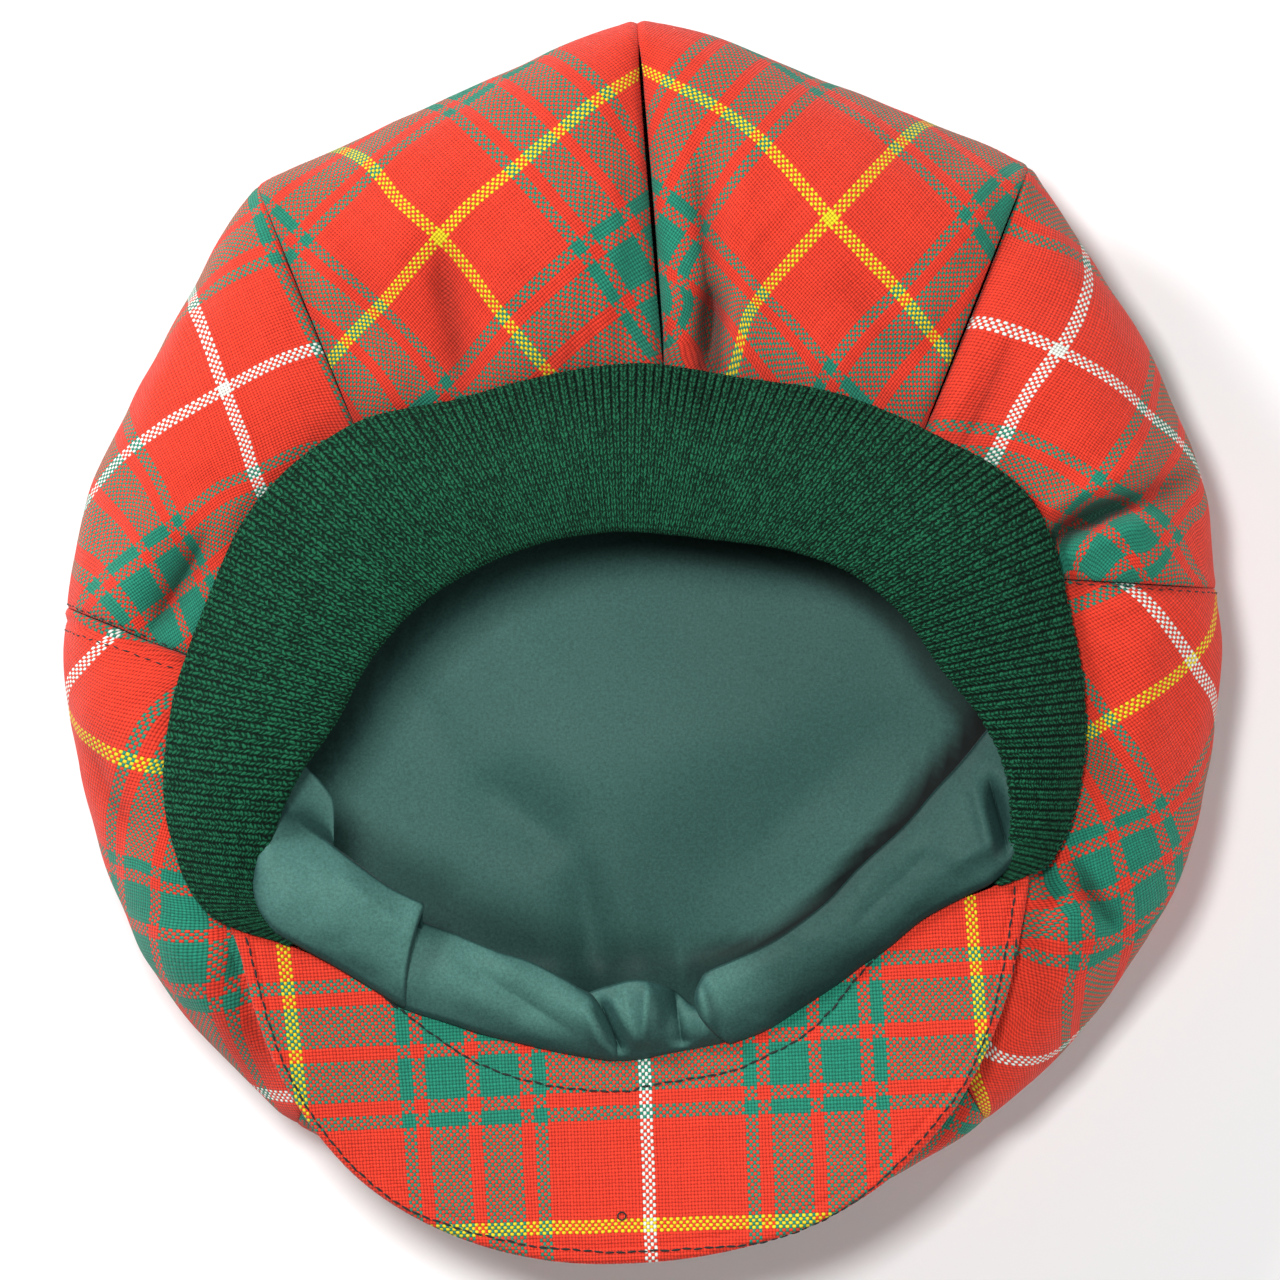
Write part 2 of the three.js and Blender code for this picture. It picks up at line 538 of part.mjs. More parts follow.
// The peak: a board covered in tartan, a crescent that follows the front of the rim
function peak() {
  const rows = PEAK_STOPS.length - 1;
  const pointAt = (along, out, side) => {
    const bearing = lerp(PEAK_START, PEAK_END, along);
    const sweep = Math.min(bearing - PEAK_START, PEAK_END - bearing);
    const tuck = PEAK_TUCK * smooth((sweep - PEAK_TUCK_SWEEP) / PEAK_TUCK_SWEEP);
    const inner = curveThrough(RIM, "reach", bearing, true) + SEAM_GAP - tuck;
    const outer = Math.max(curveThrough(PEAK_EDGE, "reach", bearing, false), inner + 1.2);
    const stop = Math.round(out * rows);
    const share = PEAK_STOPS[stop];
    const middle = peakFace(bearing, share) - PEAK_BOARD / 2;
    const height = middle + (side * PEAK_BOARD * PEAK_FULLNESS[stop]) / 2;
    return fromCentre(OPENING_CENTRE, bearing, lerp(inner, outer, share), height);
  };
  const face = (side) => grid(PEAK_COLUMNS, rows, (along, out) => pointAt(along, out, side));
  return shell(face(1), face(-1));
}

// The satin sweatband: a doubled strip sewn along the peak's seam, rolled in over the opening
function sweatband() {
  const first = SWEATBAND[0].bearing;
  const last = SWEATBAND[SWEATBAND.length - 1].bearing;
  const read = (bearing) => (column) => curveThrough(SWEATBAND, column, bearing, false);
  const middle = (along, across) => {
    const bearing = lerp(first, last, along);
    const value = read(bearing);
    const sewn = new THREE.Vector2(value("sewn"), value("sewnHeight") + SWEATBAND_CLOTH / 2);
    const crest = new THREE.Vector2(value("crest"), value("crestHeight"));
    const free = new THREE.Vector2(value("free"), value("freeHeight"));
    const roll = new THREE.SplineCurve([sewn, crest, free]).getPoint(across);
    return fromCentre(OPENING_CENTRE, bearing, roll.x, roll.y);
  };
  const pointAt = (along, across, side) => {
    const step = 0.02;
    const inward = middle(along, Math.min(across + step, 1)).sub(middle(along, Math.max(across - step, 0)));
    const round = middle(Math.min(along + step, 1), across).sub(middle(Math.max(along - step, 0), across));
    const normal = inward.cross(round).normalize();
    return middle(along, across).addScaledVector(normal, (side * SWEATBAND_CLOTH) / 2);
  };
  const face = (side) =>
    grid(SWEATBAND_COLUMNS, SWEATBAND_ROWS, (along, across) => pointAt(along, across, side));
  return shell(face(1), face(-1));
}

function piece(name, geometry, material) {
  const mesh = new THREE.Mesh(geometry, material);
  mesh.name = name;
  return mesh;
}

const cap = new THREE.Group();

const crown = new THREE.Group();
PANELS.forEach((panel, index) => crown.add(piece(`crown_panel_${panel.name}`, crownPanel(index), tartan)));
const button = piece("crown_button", crownButton(), tartan);
button.position.set(CROWN_CENTRE.x, CROWN_CENTRE.y, 0);
crown.add(button);
cap.add(crown);

cap.add(piece("satin_lining", lining(), satin));
cap.add(piece("rib_band", ribBand(), ribKnit));
cap.add(piece("peak", peak(), tartan));
cap.add(piece("front_sweatband", sweatband(), satin));

export default cap;
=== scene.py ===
"""A tartan flat cap that lies on its crown with the head opening up: the looks of every piece.

Metres. +Z is up, +Y points from the peak to the back of the cap, and the floor is z = 0. The forms are
worked out in millimetres, as a hatter would measure them, and turned to metres when a mesh is made.
"""
import logging
from collections.abc import Callable, Sequence
from dataclasses import dataclass
from enum import Enum

import bpy
import numpy as np
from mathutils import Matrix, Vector, noise


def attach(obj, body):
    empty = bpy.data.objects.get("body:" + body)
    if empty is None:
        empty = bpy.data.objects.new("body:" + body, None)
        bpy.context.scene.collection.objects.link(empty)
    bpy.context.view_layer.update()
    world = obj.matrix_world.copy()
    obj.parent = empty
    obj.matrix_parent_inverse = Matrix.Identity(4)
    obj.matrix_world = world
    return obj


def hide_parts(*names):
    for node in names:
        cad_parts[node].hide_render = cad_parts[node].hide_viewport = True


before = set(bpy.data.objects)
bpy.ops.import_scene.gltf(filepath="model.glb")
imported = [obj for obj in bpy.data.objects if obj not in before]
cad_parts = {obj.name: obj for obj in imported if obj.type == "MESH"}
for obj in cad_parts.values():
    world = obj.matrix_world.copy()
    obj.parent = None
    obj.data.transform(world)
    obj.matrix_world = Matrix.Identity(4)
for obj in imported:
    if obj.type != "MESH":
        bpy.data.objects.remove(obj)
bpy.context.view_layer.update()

MM = 0.001
THREAD_PITCH = 0.79
SEAM_GAP = 0.5
EASING_SPAN = 50.0
Numbers = np.ndarray
log = logging.getLogger("cap")


class Table:
    """Rows of named columns, read as smooth curves along the first column."""

    def __init__(self, columns: str, *rows: Sequence[float], period: float = 0.0) -> None:
        """Keeps the rows.

        Args:
            columns: the columns' names, with spaces between them.
            rows: one sequence of numbers for each row.
            period: after how much of the first column the rows repeat, or 0.
        """
        self.columns = dict(zip(columns.split(), np.array(rows, dtype=float).T, strict=True))
        self.first = columns.split()[0]
        self.period = period

    @property
    def start(self) -> float:
        """The first column's first value."""
        return float(self.columns[self.first][0])

    @property
    def end(self) -> float:
        """The first column's last value."""
        return float(self.columns[self.first][-1])

    def read(self, column: str, where: Numbers | float) -> Numbers:
        """A column's value at places along the first one.

        Args:
            column: the column's name.
            where: places along the first column.

        Returns:
            The values there, on a smooth curve through the rows.
        """
        at, value = self.columns[self.first], self.columns[column]
        where = np.asarray(where, dtype=float)
        if self.period:
            where = at[0] + np.mod(where - at[0], self.period)
            at = np.concatenate([at[-1:] - self.period, at, at[:2] + self.period])
            value = np.concatenate([value[-1:], value, value[:2]])
        else:
            at = np.concatenate([at[:1], at, at[-1:]])
            value = np.concatenate([value[:1], value, value[-1:]])
        i = np.clip(np.searchsorted(at, where, side="right") - 1, 1, len(at) - 3)
        span = at[i + 1] - at[i]
        share = np.clip((where - at[i]) / span, 0, 1)
        leave = (value[i + 1] - value[i - 1]) / (at[i + 1] - at[i - 1]) * span
        arrive = (value[i + 2] - value[i]) / (at[i + 2] - at[i]) * span
        return hermite(share, value[i], leave, value[i + 1], arrive)


def hermite(share: Numbers, start: Numbers, leave: Numbers, end: Numbers, arrive: Numbers) -> Numbers:
    """A cubic curve.

    Args:
        share: how far along the curve, 0 to 1.
        start: the value at 0.
        leave: the slope at 0.
        end: the value at 1.
        arrive: the slope at 1.

    Returns:
        The curve's value.
    """
    square, cube = share**2, share**3
    return (
        (2 * cube - 3 * square + 1) * start
        + (cube - 2 * square + share) * leave
        + (3 * square - 2 * cube) * end
        + (cube - square) * arrive
    )


def smooth(x: Numbers) -> Numbers:
    """0 below 0, 1 above 1, and a soft step between."""
    x = np.clip(x, 0, 1)
    return x * x * (3 - 2 * x)


def lerp(a: Numbers, b: Numbers, share: Numbers) -> Numbers:
    """The value a share of the way from a to b."""
    return a + (b - a) * share


def round_from(centre: tuple[float, float], bearing: Numbers, reach: Numbers, height: Numbers) -> Numbers:
    """Finds points round a centre.

    Args:
        centre: the centre's x and y.
        bearing: degrees anticlockwise from +X.
        reach: distances from the centre, seen from above.
        height: heights over the floor.

    Returns:
        The points, with x, y and z last.
    """
    turn = np.radians(bearing)
    x = centre[0] + reach * np.cos(turn)
    y = centre[1] + reach * np.sin(turn)
    return np.stack(np.broadcast_arrays(x, y, height), axis=-1)


def unit(vectors: Numbers) -> Numbers:
    """Vectors at length 1."""
    return vectors / np.maximum(np.linalg.norm(vectors, axis=-1, keepdims=True), 1e-9)


def ripple(points: Numbers, size: float, seed: float) -> Numbers:
    """Reads smooth noise at points.

    Args:
        points: places in millimetres.
        size: about how wide the noise's features are.
        seed: where in the noise the points lie.

    Returns:
        Values from -1 to 1.
    """
    flat = points.reshape(-1, 3) / size + seed
    values = [noise.noise(Vector(point)) for point in flat]
    return np.array(values).reshape(points.shape[:-1])


@dataclass(frozen=True)
class Wrinkles:
    """Small waves in cloth: their height and width in millimetres, and the noise's seed."""

    height: float
    size: float
    seed: float

    def rise(self, points: Numbers, shift: float = 0) -> Numbers:
        """How far the waves lift the cloth at points."""
        return self.height * ripple(points, self.size, self.seed + shift)


@dataclass(frozen=True)
class Dent:
    """A crease in cloth, seen from above: its middle, the way it runs in degrees, and its sizes.

    The depth is how far it goes down, and a negative one raises a ridge instead.
    """

    x: float
    y: float
    turn: float
    length: float
    width: float
    depth: float

    def drop(self, points: Numbers) -> Numbers:
        """How far the cloth goes down at points: most along the crease, with a low swell on both sides.

        Args:
            points: places in millimetres; only x and y count.

        Returns:
            The drop in millimetres.
        """
        turn = np.radians(self.turn)
        x, y = points[..., 0] - self.x, points[..., 1] - self.y
        along = (x * np.cos(turn) + y * np.sin(turn)) / (self.length / 2)
        off = np.abs(y * np.cos(turn) - x * np.sin(turn)) / self.width
        profile = np.exp(-(off**1.25)) - 0.22 * np.exp(-(((off - 2.0) / 0.9) ** 2))
        return self.depth * profile * np.exp(-(along**4))


def spread_between(places: Numbers, values: Numbers, stiffness: float = 0.02) -> Callable[[Numbers], Numbers]:
    """A smooth surface that passes close to values at places, as a thin plate would.

    Args:
        places: count by 2.
        values: one for each place.
        stiffness: how much the plate keeps from bending to reach a value.

    Returns:
        A function from places to values.
    """

    def bend(offsets: Numbers) -> Numbers:
        """The plate's lift round one place."""
        square = (offsets**2).sum(axis=-1)
        return square * np.log(square + 1e-9)

    count = len(places)
    plane = np.concatenate([np.ones((count, 1)), places], axis=1)
    system = np.zeros((count + 3, count + 3))
    system[:count, :count] = bend(places[:, None] - places[None]) + stiffness * np.eye(count)
    system[:count, count:] = plane
    system[count:, :count] = plane.T
    weights = np.linalg.solve(system, np.concatenate([values, np.zeros(3)]))

    def read(where: Numbers) -> Numbers:
        """Reads the surface.

        Args:
            where: places, with two numbers each.

        Returns:
            The surface's values there.
        """
        found = weights[count] + where @ weights[count + 1 :]
        for place, weight in zip(places, weights[:count], strict=True):
            found = found + weight * bend(where - place)
        return found

    return read


# The rim, where crown, band, lining and peak are sewn together
OPENING = (-0.6, -20.2)
RIM = Table(
    "bearing reach height",
    (0, 102.3, 58.5),
    (15, 102.1, 58.0),
    (30, 103.6, 57.0),
    (45, 94.6, 56.0),
    (60, 87.4, 55.0),
    (75, 82.0, 54.0),
    (90, 82.2, 54.0),
    (105, 82.2, 54.5),
    (120, 85.5, 55.0),
    (135, 95.8, 56.0),
    (150, 101.6, 57.0),
    (165, 103.5, 58.0),
    (180, 108.4, 58.5),
    (192, 110.7, 59.5),
    (203, 108.0, 60.0),
    (211, 98.5, 58.5),
    (224, 89.0, 54.5),
    (240, 85.2, 49.5),
    (255, 80.1, 47.0),
    (270, 78.7, 46.0),
    (285, 77.6, 46.8),
    (300, 75.4, 49.0),
    (315, 76.6, 53.0),
    (328, 81.5, 56.8),
    (335, 91.0, 59.0),
    (341, 98.6, 59.8),
    (350, 101.6, 59.0),
    period=360,
)


def rim_point(bearing: Numbers, inward: Numbers | float = 0, rise: Numbers | float = 0) -> Numbers:
    """A point of the rim, or one that lies inward of it and above it."""
    reach = RIM.read("reach", bearing) - inward
    return round_from(OPENING, bearing, reach, RIM.read("height", bearing) + rise)


class Way(Enum):
    """Which way a grid's faces point: by its columns and rows, or the other way round."""

    AS_LAID = 1
    TURNED = -1


class Slot(Enum):
    """Names of material slots."""

    TARTAN = "tartan_cloth"
    KNIT = "rib_knit"
    SATIN = "satin_lining"


def grid_faces(columns: int, rows: int, ring_columns: bool, ring_rows: bool, way: Way) -> Numbers:
    """Finds the quads of a grid of points.

    Args:
        columns: how many columns the grid has.
        rows: how many rows it has.
        ring_columns: whether the last column joins the first.
        ring_rows: whether the last row joins the first.
        way: which way the faces point.

    Returns:
        Four point numbers for each quad.
    """
    i = np.arange(columns if ring_columns else columns - 1)
    j = np.arange(rows if ring_rows else rows - 1)
    i, j = (a.ravel() for a in np.meshgrid(i, j, indexing="ij"))
    ii, jj = (i + 1) % columns, (j + 1) % rows
    quads = np.stack([i * rows + j, ii * rows + j, ii * rows + jj, i * rows + jj], axis=1)
    return quads if way is Way.AS_LAID else quads[:, ::-1]


def grid_mesh(
    name: str,
    points: Numbers,
    way: Way = Way.AS_LAID,
    ring_columns: bool = False,
    ring_rows: bool = False,
    threads: Numbers | None = None,
) -> bpy.types.Object:
    """Makes a mesh object from a grid of points.

    Args:
        name: the piece's name.
        points: places in millimetres, columns by rows by 3.
        way: which way the faces point.
        ring_columns: whether the last column joins the first.
        ring_rows: whether the last row joins the first.
        threads: pattern coordinates at the points, columns by rows by 2. Where a grid closes on itself,
            they have one more column or row than the points.

    Returns:
        The object, shaded smooth and at the origin.
    """
    columns, rows = points.shape[:2]
    faces = grid_faces(columns, rows, ring_columns, ring_rows, way)
    mesh = bpy.data.meshes.new(name)
    mesh.from_pydata((points.reshape(-1, 3) * MM).tolist(), [], faces.tolist())
    if threads is not None:
        wide, high = threads.shape[:2]
        span_i = columns if ring_columns else columns - 1
        span_j = rows if ring_rows else rows - 1
        i, j = (a.ravel() for a in np.meshgrid(np.arange(span_i), np.arange(span_j), indexing="ij"))
        corners = [(i, j), (i + 1, j), (i + 1, j + 1), (i, j + 1)]
        if way is Way.TURNED:
            corners.reverse()
        corners = [(np.minimum(a, wide - 1), np.minimum(b, high - 1)) for a, b in corners]
        loops = np.stack([threads[corner] for corner in corners], axis=1)
        layer = mesh.uv_layers.new(name="threads")
        layer.data.foreach_set("uv", loops.reshape(-1).astype(np.float32))
    mesh.validate()
    mesh.shade_smooth()
    piece = bpy.data.objects.new(name, mesh)
    bpy.context.collection.objects.link(piece)
    return piece


def add_values(piece: bpy.types.Object, name: str, values: Numbers) -> None:
    """Gives a mesh a named number at each of its points, for the shader to read."""
    layer = piece.data.attributes.new(name, "FLOAT", "POINT")
    layer.data.foreach_set("value", values.reshape(-1).astype(np.float32))


def nearest_on(points: Numbers, line: Numbers) -> tuple[Numbers, Numbers]:
    """Finds where a line comes nearest to places, seen from above.

    Args:
        points: places in millimetres, in any number of rows.
        line: the line's own points, two or three numbers each.

    Returns:
        How far each place is from the line, and the number of the line's point that is nearest.
    """
    gaps = np.hypot(points[..., 0, None] - line[:, 0], points[..., 1, None] - line[:, 1])
    return gaps.min(axis=-1), gaps.argmin(axis=-1)


def declare_sheet(
    piece: bpy.types.Object, points: Numbers, ring: bool = False
) -> None:
    """Logs the size that a sheet of cloth is cut to.

    Args:
        piece: the finished piece.
        points: its grid of points in millimetres, before it got its thickness.
        ring: whether the grid's last column joins its first.
    """
    if ring:
        points = np.concatenate([points, points[:1]])
    across, down = np.diff(points, axis=0)[:, :-1], np.diff(points, axis=1)[:-1]
    area = float(np.linalg.norm(np.cross(across, down), axis=-1).sum())
    width = float(np.linalg.norm(np.diff(points, axis=0), axis=-1).sum(axis=0).max())
    length = float(np.linalg.norm(np.diff(points, axis=1), axis=-1).sum(axis=1).max())
    length = max(length, area / width)
    log.info("%s: cut %.0f by %.0f mm, %.0f square cm", piece.name, width, length, area / 100)


def select_only(piece: bpy.types.Object) -> None:
    """Makes one object the selected and active one.

    Args:
        piece: the object.
    """
    for other in bpy.context.selected_objects:
        other.select_set(False)
    piece.select_set(True)
    bpy.context.view_layer.objects.active = piece


def apply_modifier(piece: bpy.types.Object, kind: str, **settings: object) -> None:
    """Adds a modifier and applies it.

    Args:
        piece: the object to change.
        kind: the modifier's type name.
        settings: the modifier's own properties.
    """
    select_only(piece)
    modifier = piece.modifiers.new(kind.title(), kind)
    for name, value in settings.items():
        setattr(modifier, name, value)
    bpy.ops.object.modifier_apply(modifier=modifier.name)


def thicken(piece: bpy.types.Object, thickness: float) -> None:
    """Gives a sheet its thickness in millimetres, behind its faces."""
    apply_modifier(piece, "SOLIDIFY", thickness=thickness * MM, offset=-1, use_even_offset=False)
    piece.data.shade_smooth()


def fill_ends(piece: bpy.types.Object) -> None:
    """Closes a tube's open ends.

    Args:
        piece: the tube.
    """
    select_only(piece)
    bpy.ops.object.mode_set(mode="EDIT")
    bpy.ops.mesh.select_all(action="DESELECT")
    bpy.ops.mesh.select_mode(type="EDGE")
    bpy.ops.mesh.select_non_manifold()
    bpy.ops.mesh.edge_face_add()
    bpy.ops.mesh.select_all(action="SELECT")
    bpy.ops.mesh.normals_make_consistent(inside=False)
    bpy.ops.object.mode_set(mode="OBJECT")


def finish_piece(
    piece: bpy.types.Object, material: bpy.types.Material, slot: Slot, replaced: Sequence[str] = ()
) -> bpy.types.Object:
    """Dresses a piece, lets it ride on the cap and hides the nodes that it stands for.

    Args:
        piece: the piece.
        material: its material.
        slot: the material slot; not used.
        replaced: the nodes that it stands for.

    Returns:
        The same piece.
    """
    piece.data.materials.clear()
    piece.data.materials.append(material)
    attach(piece, "root")
    if replaced:
        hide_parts(*replaced)
    piece.data.calc_loop_triangles()
    log.info("%s: %d triangles", piece.name, len(piece.data.loop_triangles))
    return piece


class Nodes:
    """A short way to write a node tree."""

    def __init__(self, tree: bpy.types.NodeTree) -> None:
        """Keeps the tree that nodes are added to."""
        self.tree = tree

    def add(self, kind: str, values: dict | None = None, **settings: object) -> bpy.types.Node:
        """Adds a node.

        Args:
            kind: the node's type name.
            values: input names or numbers to their value, or to the socket that feeds them.
            settings: the node's own properties.

        Returns:
            The node.
        """
        node = self.tree.nodes.new(kind)
        for name, value in settings.items():
            setattr(node, name, value)
        for key, value in (values or {}).items():
            if isinstance(value, bpy.types.NodeSocket):
                self.tree.links.new(value, node.inputs[key])
            else:
                node.inputs[key].default_value = value
        return node

    def math(self, operation: str, *values: object) -> bpy.types.NodeSocket:
        """A math node's result."""
        return self.add("ShaderNodeMath", dict(enumerate(values)), operation=operation).outputs[0]

    def mix(self, factor: object, a: object, b: object, blend: str = "MIX") -> bpy.types.NodeSocket:
        """Two colours mixed by a factor."""
        values = {"Factor": factor, 6: a, 7: b}
        return self.add("ShaderNodeMix", values, data_type="RGBA", blend_type=blend).outputs[2]

    def ramp(self, factor: object, stops: Sequence[tuple], constant: bool = False) -> bpy.types.NodeSocket:
        """Adds a colour ramp.

        Args:
            factor: what the ramp reads.
            stops: a place from 0 to 1 and a colour for each stop.
            constant: whether the colours change in steps.

        Returns:
            The ramp's colour.
        """
        node = self.add("ShaderNodeValToRGB", {0: factor})
        node.color_ramp.interpolation = "CONSTANT" if constant else "LINEAR"
        elements = node.color_ramp.elements
        while len(elements) < len(stops):
            elements.new(1.0)
        for element, (place, colour) in zip(elements, stops, strict=True):
            element.position = place
            element.color = (*colour, 1)
        return node.outputs[0]

    def noise(
        self, vector: object, scale: float, detail: float = 2, rough: float = 0.5
    ) -> bpy.types.NodeSocket:
        """A noise texture's value."""
        values = {"Vector": vector, "Scale": scale, "Detail": detail, "Roughness": rough}
        return self.add("ShaderNodeTexNoise", values).outputs["Fac"]


def new_group(
    name: str, inputs: dict[str, str], outputs: dict[str, str]
) -> tuple[Nodes, bpy.types.Node, Callable]:
    """Starts a shader node group.

    Args:
        name: the group's name.
        inputs: input names to socket types.
        outputs: output names to socket types.

    Returns:
        The group's nodes, its input node, and a function that links a socket to a named output.
    """
    tree = bpy.data.node_groups.new(name, "ShaderNodeTree")
    for side, sockets in (("INPUT", inputs), ("OUTPUT", outputs)):
        for socket, kind in sockets.items():
            tree.interface.new_socket(name=socket, in_out=side, socket_type=kind)
    start = tree.nodes.new("NodeGroupInput")
    end = tree.nodes.new("NodeGroupOutput")

    def put_out(socket: str, source: bpy.types.NodeSocket) -> None:
        """Links a socket to a named output."""
        tree.links.new(source, end.inputs[socket])

    return Nodes(tree), start, put_out


VALUE, COLOUR, VECTOR = "NodeSocketFloat", "NodeSocketColor", "NodeSocketVector"


def linear(red: int, green: int, blue: int) -> tuple[float, float, float]:
    """A screen colour of 0 to 255 as the linear colour that shaders use."""
    shares = [channel / 255 for channel in (red, green, blue)]
    return tuple(s / 12.92 if s <= 0.04045 else ((s + 0.055) / 1.055) ** 2.4 for s in shares)


@dataclass(frozen=True)
class Sett:
    """The tartan's count of threads from its yellow pivot to its white one, the same in warp and weft."""

    red: tuple = linear(240, 62, 40)
    green: tuple = linear(34, 138, 112)
    yellow: tuple = linear(244, 214, 34)
    white: tuple = linear(244, 244, 234)
    stripes: str = "Y2 R28 G4 R4 G12 R4 G12 R4 G4 R28 W2"

    @property
    def threads(self) -> int:
        """How many threads lie between the pivots."""
        return sum(int(stripe[1:]) for stripe in self.stripes.split())

    def stops(self) -> list[tuple]:
        """Lists the stripes.

        Returns:
            Where each stripe starts, as a share of the count, with its colour.
        """
        colours = {"R": self.red, "G": self.green, "Y": self.yellow, "W": self.white}
        found, place = [], 0
        for stripe in self.stripes.split():
            found.append((place / self.threads, colours[stripe[0]]))
            place += int(stripe[1:])
        return found


SETT = Sett()
YELLOW_PIVOT = 0
WHITE_PIVOT = SETT.threads
ANY = float("nan")


def nearest_alike(number: Numbers, guess: Numbers) -> Numbers:
    """Finds a thread that looks the same in the mirrored and repeated sett.

    Args:
        number: the thread's number.
        guess: a number that the wanted one is near.

    Returns:
        The number of the like thread that is nearest the guess.
    """
    period = 2 * SETT.threads
    ahead, mirrored = (
        side * number + period * np.round((guess - side * number) / period) for side in (1, -1)
    )
    return np.where(np.abs(ahead - guess) <= np.abs(mirrored - guess), ahead, mirrored)


def thread_colour_group() -> bpy.types.NodeTree:
    """Builds the group that colours a thread by its number, with a little dyer's variation.

    Returns:
        The group.
    """
    nodes, start, put_out = new_group("thread_colour", {"Number": VALUE, "Seed": VALUE}, {"Color": COLOUR})
    middle = nodes.math("ADD", start.outputs["Number"], 0.5)
    folded = nodes.math("PINGPONG", middle, SETT.threads)
    dyed = nodes.ramp(nodes.math("DIVIDE", folded, SETT.threads), SETT.stops(), constant=True)
    seed = nodes.math("MULTIPLY_ADD", start.outputs["Seed"], 37.7, start.outputs["Number"])
    chance = nodes.add("ShaderNodeTexWhiteNoise", {"W": seed}, noise_dimensions="1D").outputs["Value"]
    depth = nodes.math("MULTIPLY_ADD", chance, 0.16, 0.92)
    grey = nodes.add("ShaderNodeCombineColor", {0: depth, 1: depth, 2: depth}).outputs[0]
    put_out("Color", nodes.mix(1.0, dyed, grey, "MULTIPLY"))
    return nodes.tree


def plain_weave_group() -> bpy.types.NodeTree:
    """Builds the group for plain weave: the threads' numbers, which is on top, and the cloth's height.

    Returns:
        The group.
    """
    outputs = {"Warp": VALUE, "Weft": VALUE, "Warp on top": VALUE, "Height": VALUE}
    nodes, start, put_out = new_group("plain_weave", {"Vector": VECTOR}, outputs)
    split = nodes.add("ShaderNodeSeparateXYZ", {0: start.outputs["Vector"]})
    heights = []
    sides = (("Warp", "X", "Y", 0.0), ("Weft", "Y", "X", 1.0))
    for label, own, other, shift in sides:
        number = nodes.math("FLOOR", split.outputs[own])
        put_out(label, number)
        inside = nodes.math("SUBTRACT", nodes.math("FRACT", split.outputs[own]), 0.5)
        crown = nodes.math("MULTIPLY", nodes.math("MULTIPLY", inside, inside), -3.0)
        along = nodes.math("ADD", nodes.math("SUBTRACT", split.outputs[other], 0.5 - shift), number)
        weave = nodes.math("COSINE", nodes.math("MULTIPLY", along, np.pi))
        heights.append(nodes.math("MULTIPLY_ADD", weave, 0.5, nodes.math("ADD", crown, 0.5)))
    put_out("Warp on top", nodes.math("GREATER_THAN", heights[0], heights[1]))
    put_out("Height", nodes.math("MAXIMUM", heights[0], heights[1]))
    return nodes.tree


def knit_stitch_group() -> bpy.types.NodeTree:
    """Builds the group for knit. X counts wales, Y counts courses, and each stitch is a V of two legs.

    Returns:
        The group.
    """
    outputs = {"Height": VALUE, "Groove": VALUE, "Chance": VALUE}
    nodes, start, put_out = new_group("knit_stitch", {"Vector": VECTOR}, outputs)
    values = {"Vector": start.outputs["Vector"], "Scale": 1.2, "Detail": 2.0}
    stray = nodes.add("ShaderNodeTexNoise", values, noise_dimensions="2D").outputs["Color"]
    values = {0: stray, 1: (0.5, 0.5, 0.5)}
    centred = nodes.add("ShaderNodeVectorMath", values, operation="SUBTRACT").outputs[0]
    values = {0: centred, 1: (0.34, 1.0, 0), 2: start.outputs["Vector"]}
    strayed = nodes.add("ShaderNodeVectorMath", values, operation="MULTIPLY_ADD").outputs[0]
    split = nodes.add("ShaderNodeSeparateXYZ", {0: strayed})
    inside = nodes.math("SUBTRACT", nodes.math("FRACT", split.outputs["X"]), 0.5)
    aside = nodes.math("MULTIPLY", nodes.math("ABSOLUTE", inside), 2)
    course = nodes.math("MULTIPLY_ADD", aside, 0.9, split.outputs["Y"])
    bead = nodes.math("ABSOLUTE", nodes.math("SINE", nodes.math("MULTIPLY", course, np.pi)))
    off = nodes.math("SUBTRACT", aside, 0.5)
    leg = nodes.math("MULTIPLY_ADD", nodes.math("MULTIPLY", off, off), -3.2, 1)
    put_out("Height", nodes.math("MULTIPLY", nodes.math("MULTIPLY_ADD", bead, 0.7, 0.3), leg))
    put_out("Groove", nodes.math("SMOOTH_MAX", nodes.math("SUBTRACT", aside, 0.6), 0, 0.12))
    leg_number = nodes.math("FLOOR", nodes.math("MULTIPLY", split.outputs["X"], 2))
    cell = nodes.add("ShaderNodeCombineXYZ", {0: leg_number, 1: nodes.math("FLOOR", course)}).outputs[0]
    chance = nodes.add("ShaderNodeTexWhiteNoise", {"Vector": cell}, noise_dimensions="2D")
    put_out("Chance", chance.outputs["Value"])
    return nodes.tree


@dataclass(frozen=True)
class Finishes:
    """The cap's materials, each made once and shared by its pieces."""

    tartan: bpy.types.Material
    knit: bpy.types.Material
    satin: bpy.types.Material
    thread: bpy.types.Material


def new_material(name: str) -> tuple[bpy.types.Material, Nodes, bpy.types.Node]:
    """Starts a material.

    Args:
        name: the material's name.

    Returns:
        The material, its nodes and its Principled shader.
    """
    material = bpy.data.materials.new(name)
    material.use_nodes = True
    nodes = Nodes(material.node_tree)
    return material, nodes, material.node_tree.nodes["Principled BSDF"]


def feed(nodes: Nodes, shader: bpy.types.Node, values: dict[str, object]) -> None:
    """Sets or links a shader's sockets.

    Args:
        nodes: the material's nodes.
        shader: the shader.
        values: socket names to a constant, or to the socket that feeds them.
    """
    for name, value in values.items():
        if isinstance(value, bpy.types.NodeSocket):
            nodes.tree.links.new(value, shader.inputs[name])
        else:
            shader.inputs[name].default_value = value


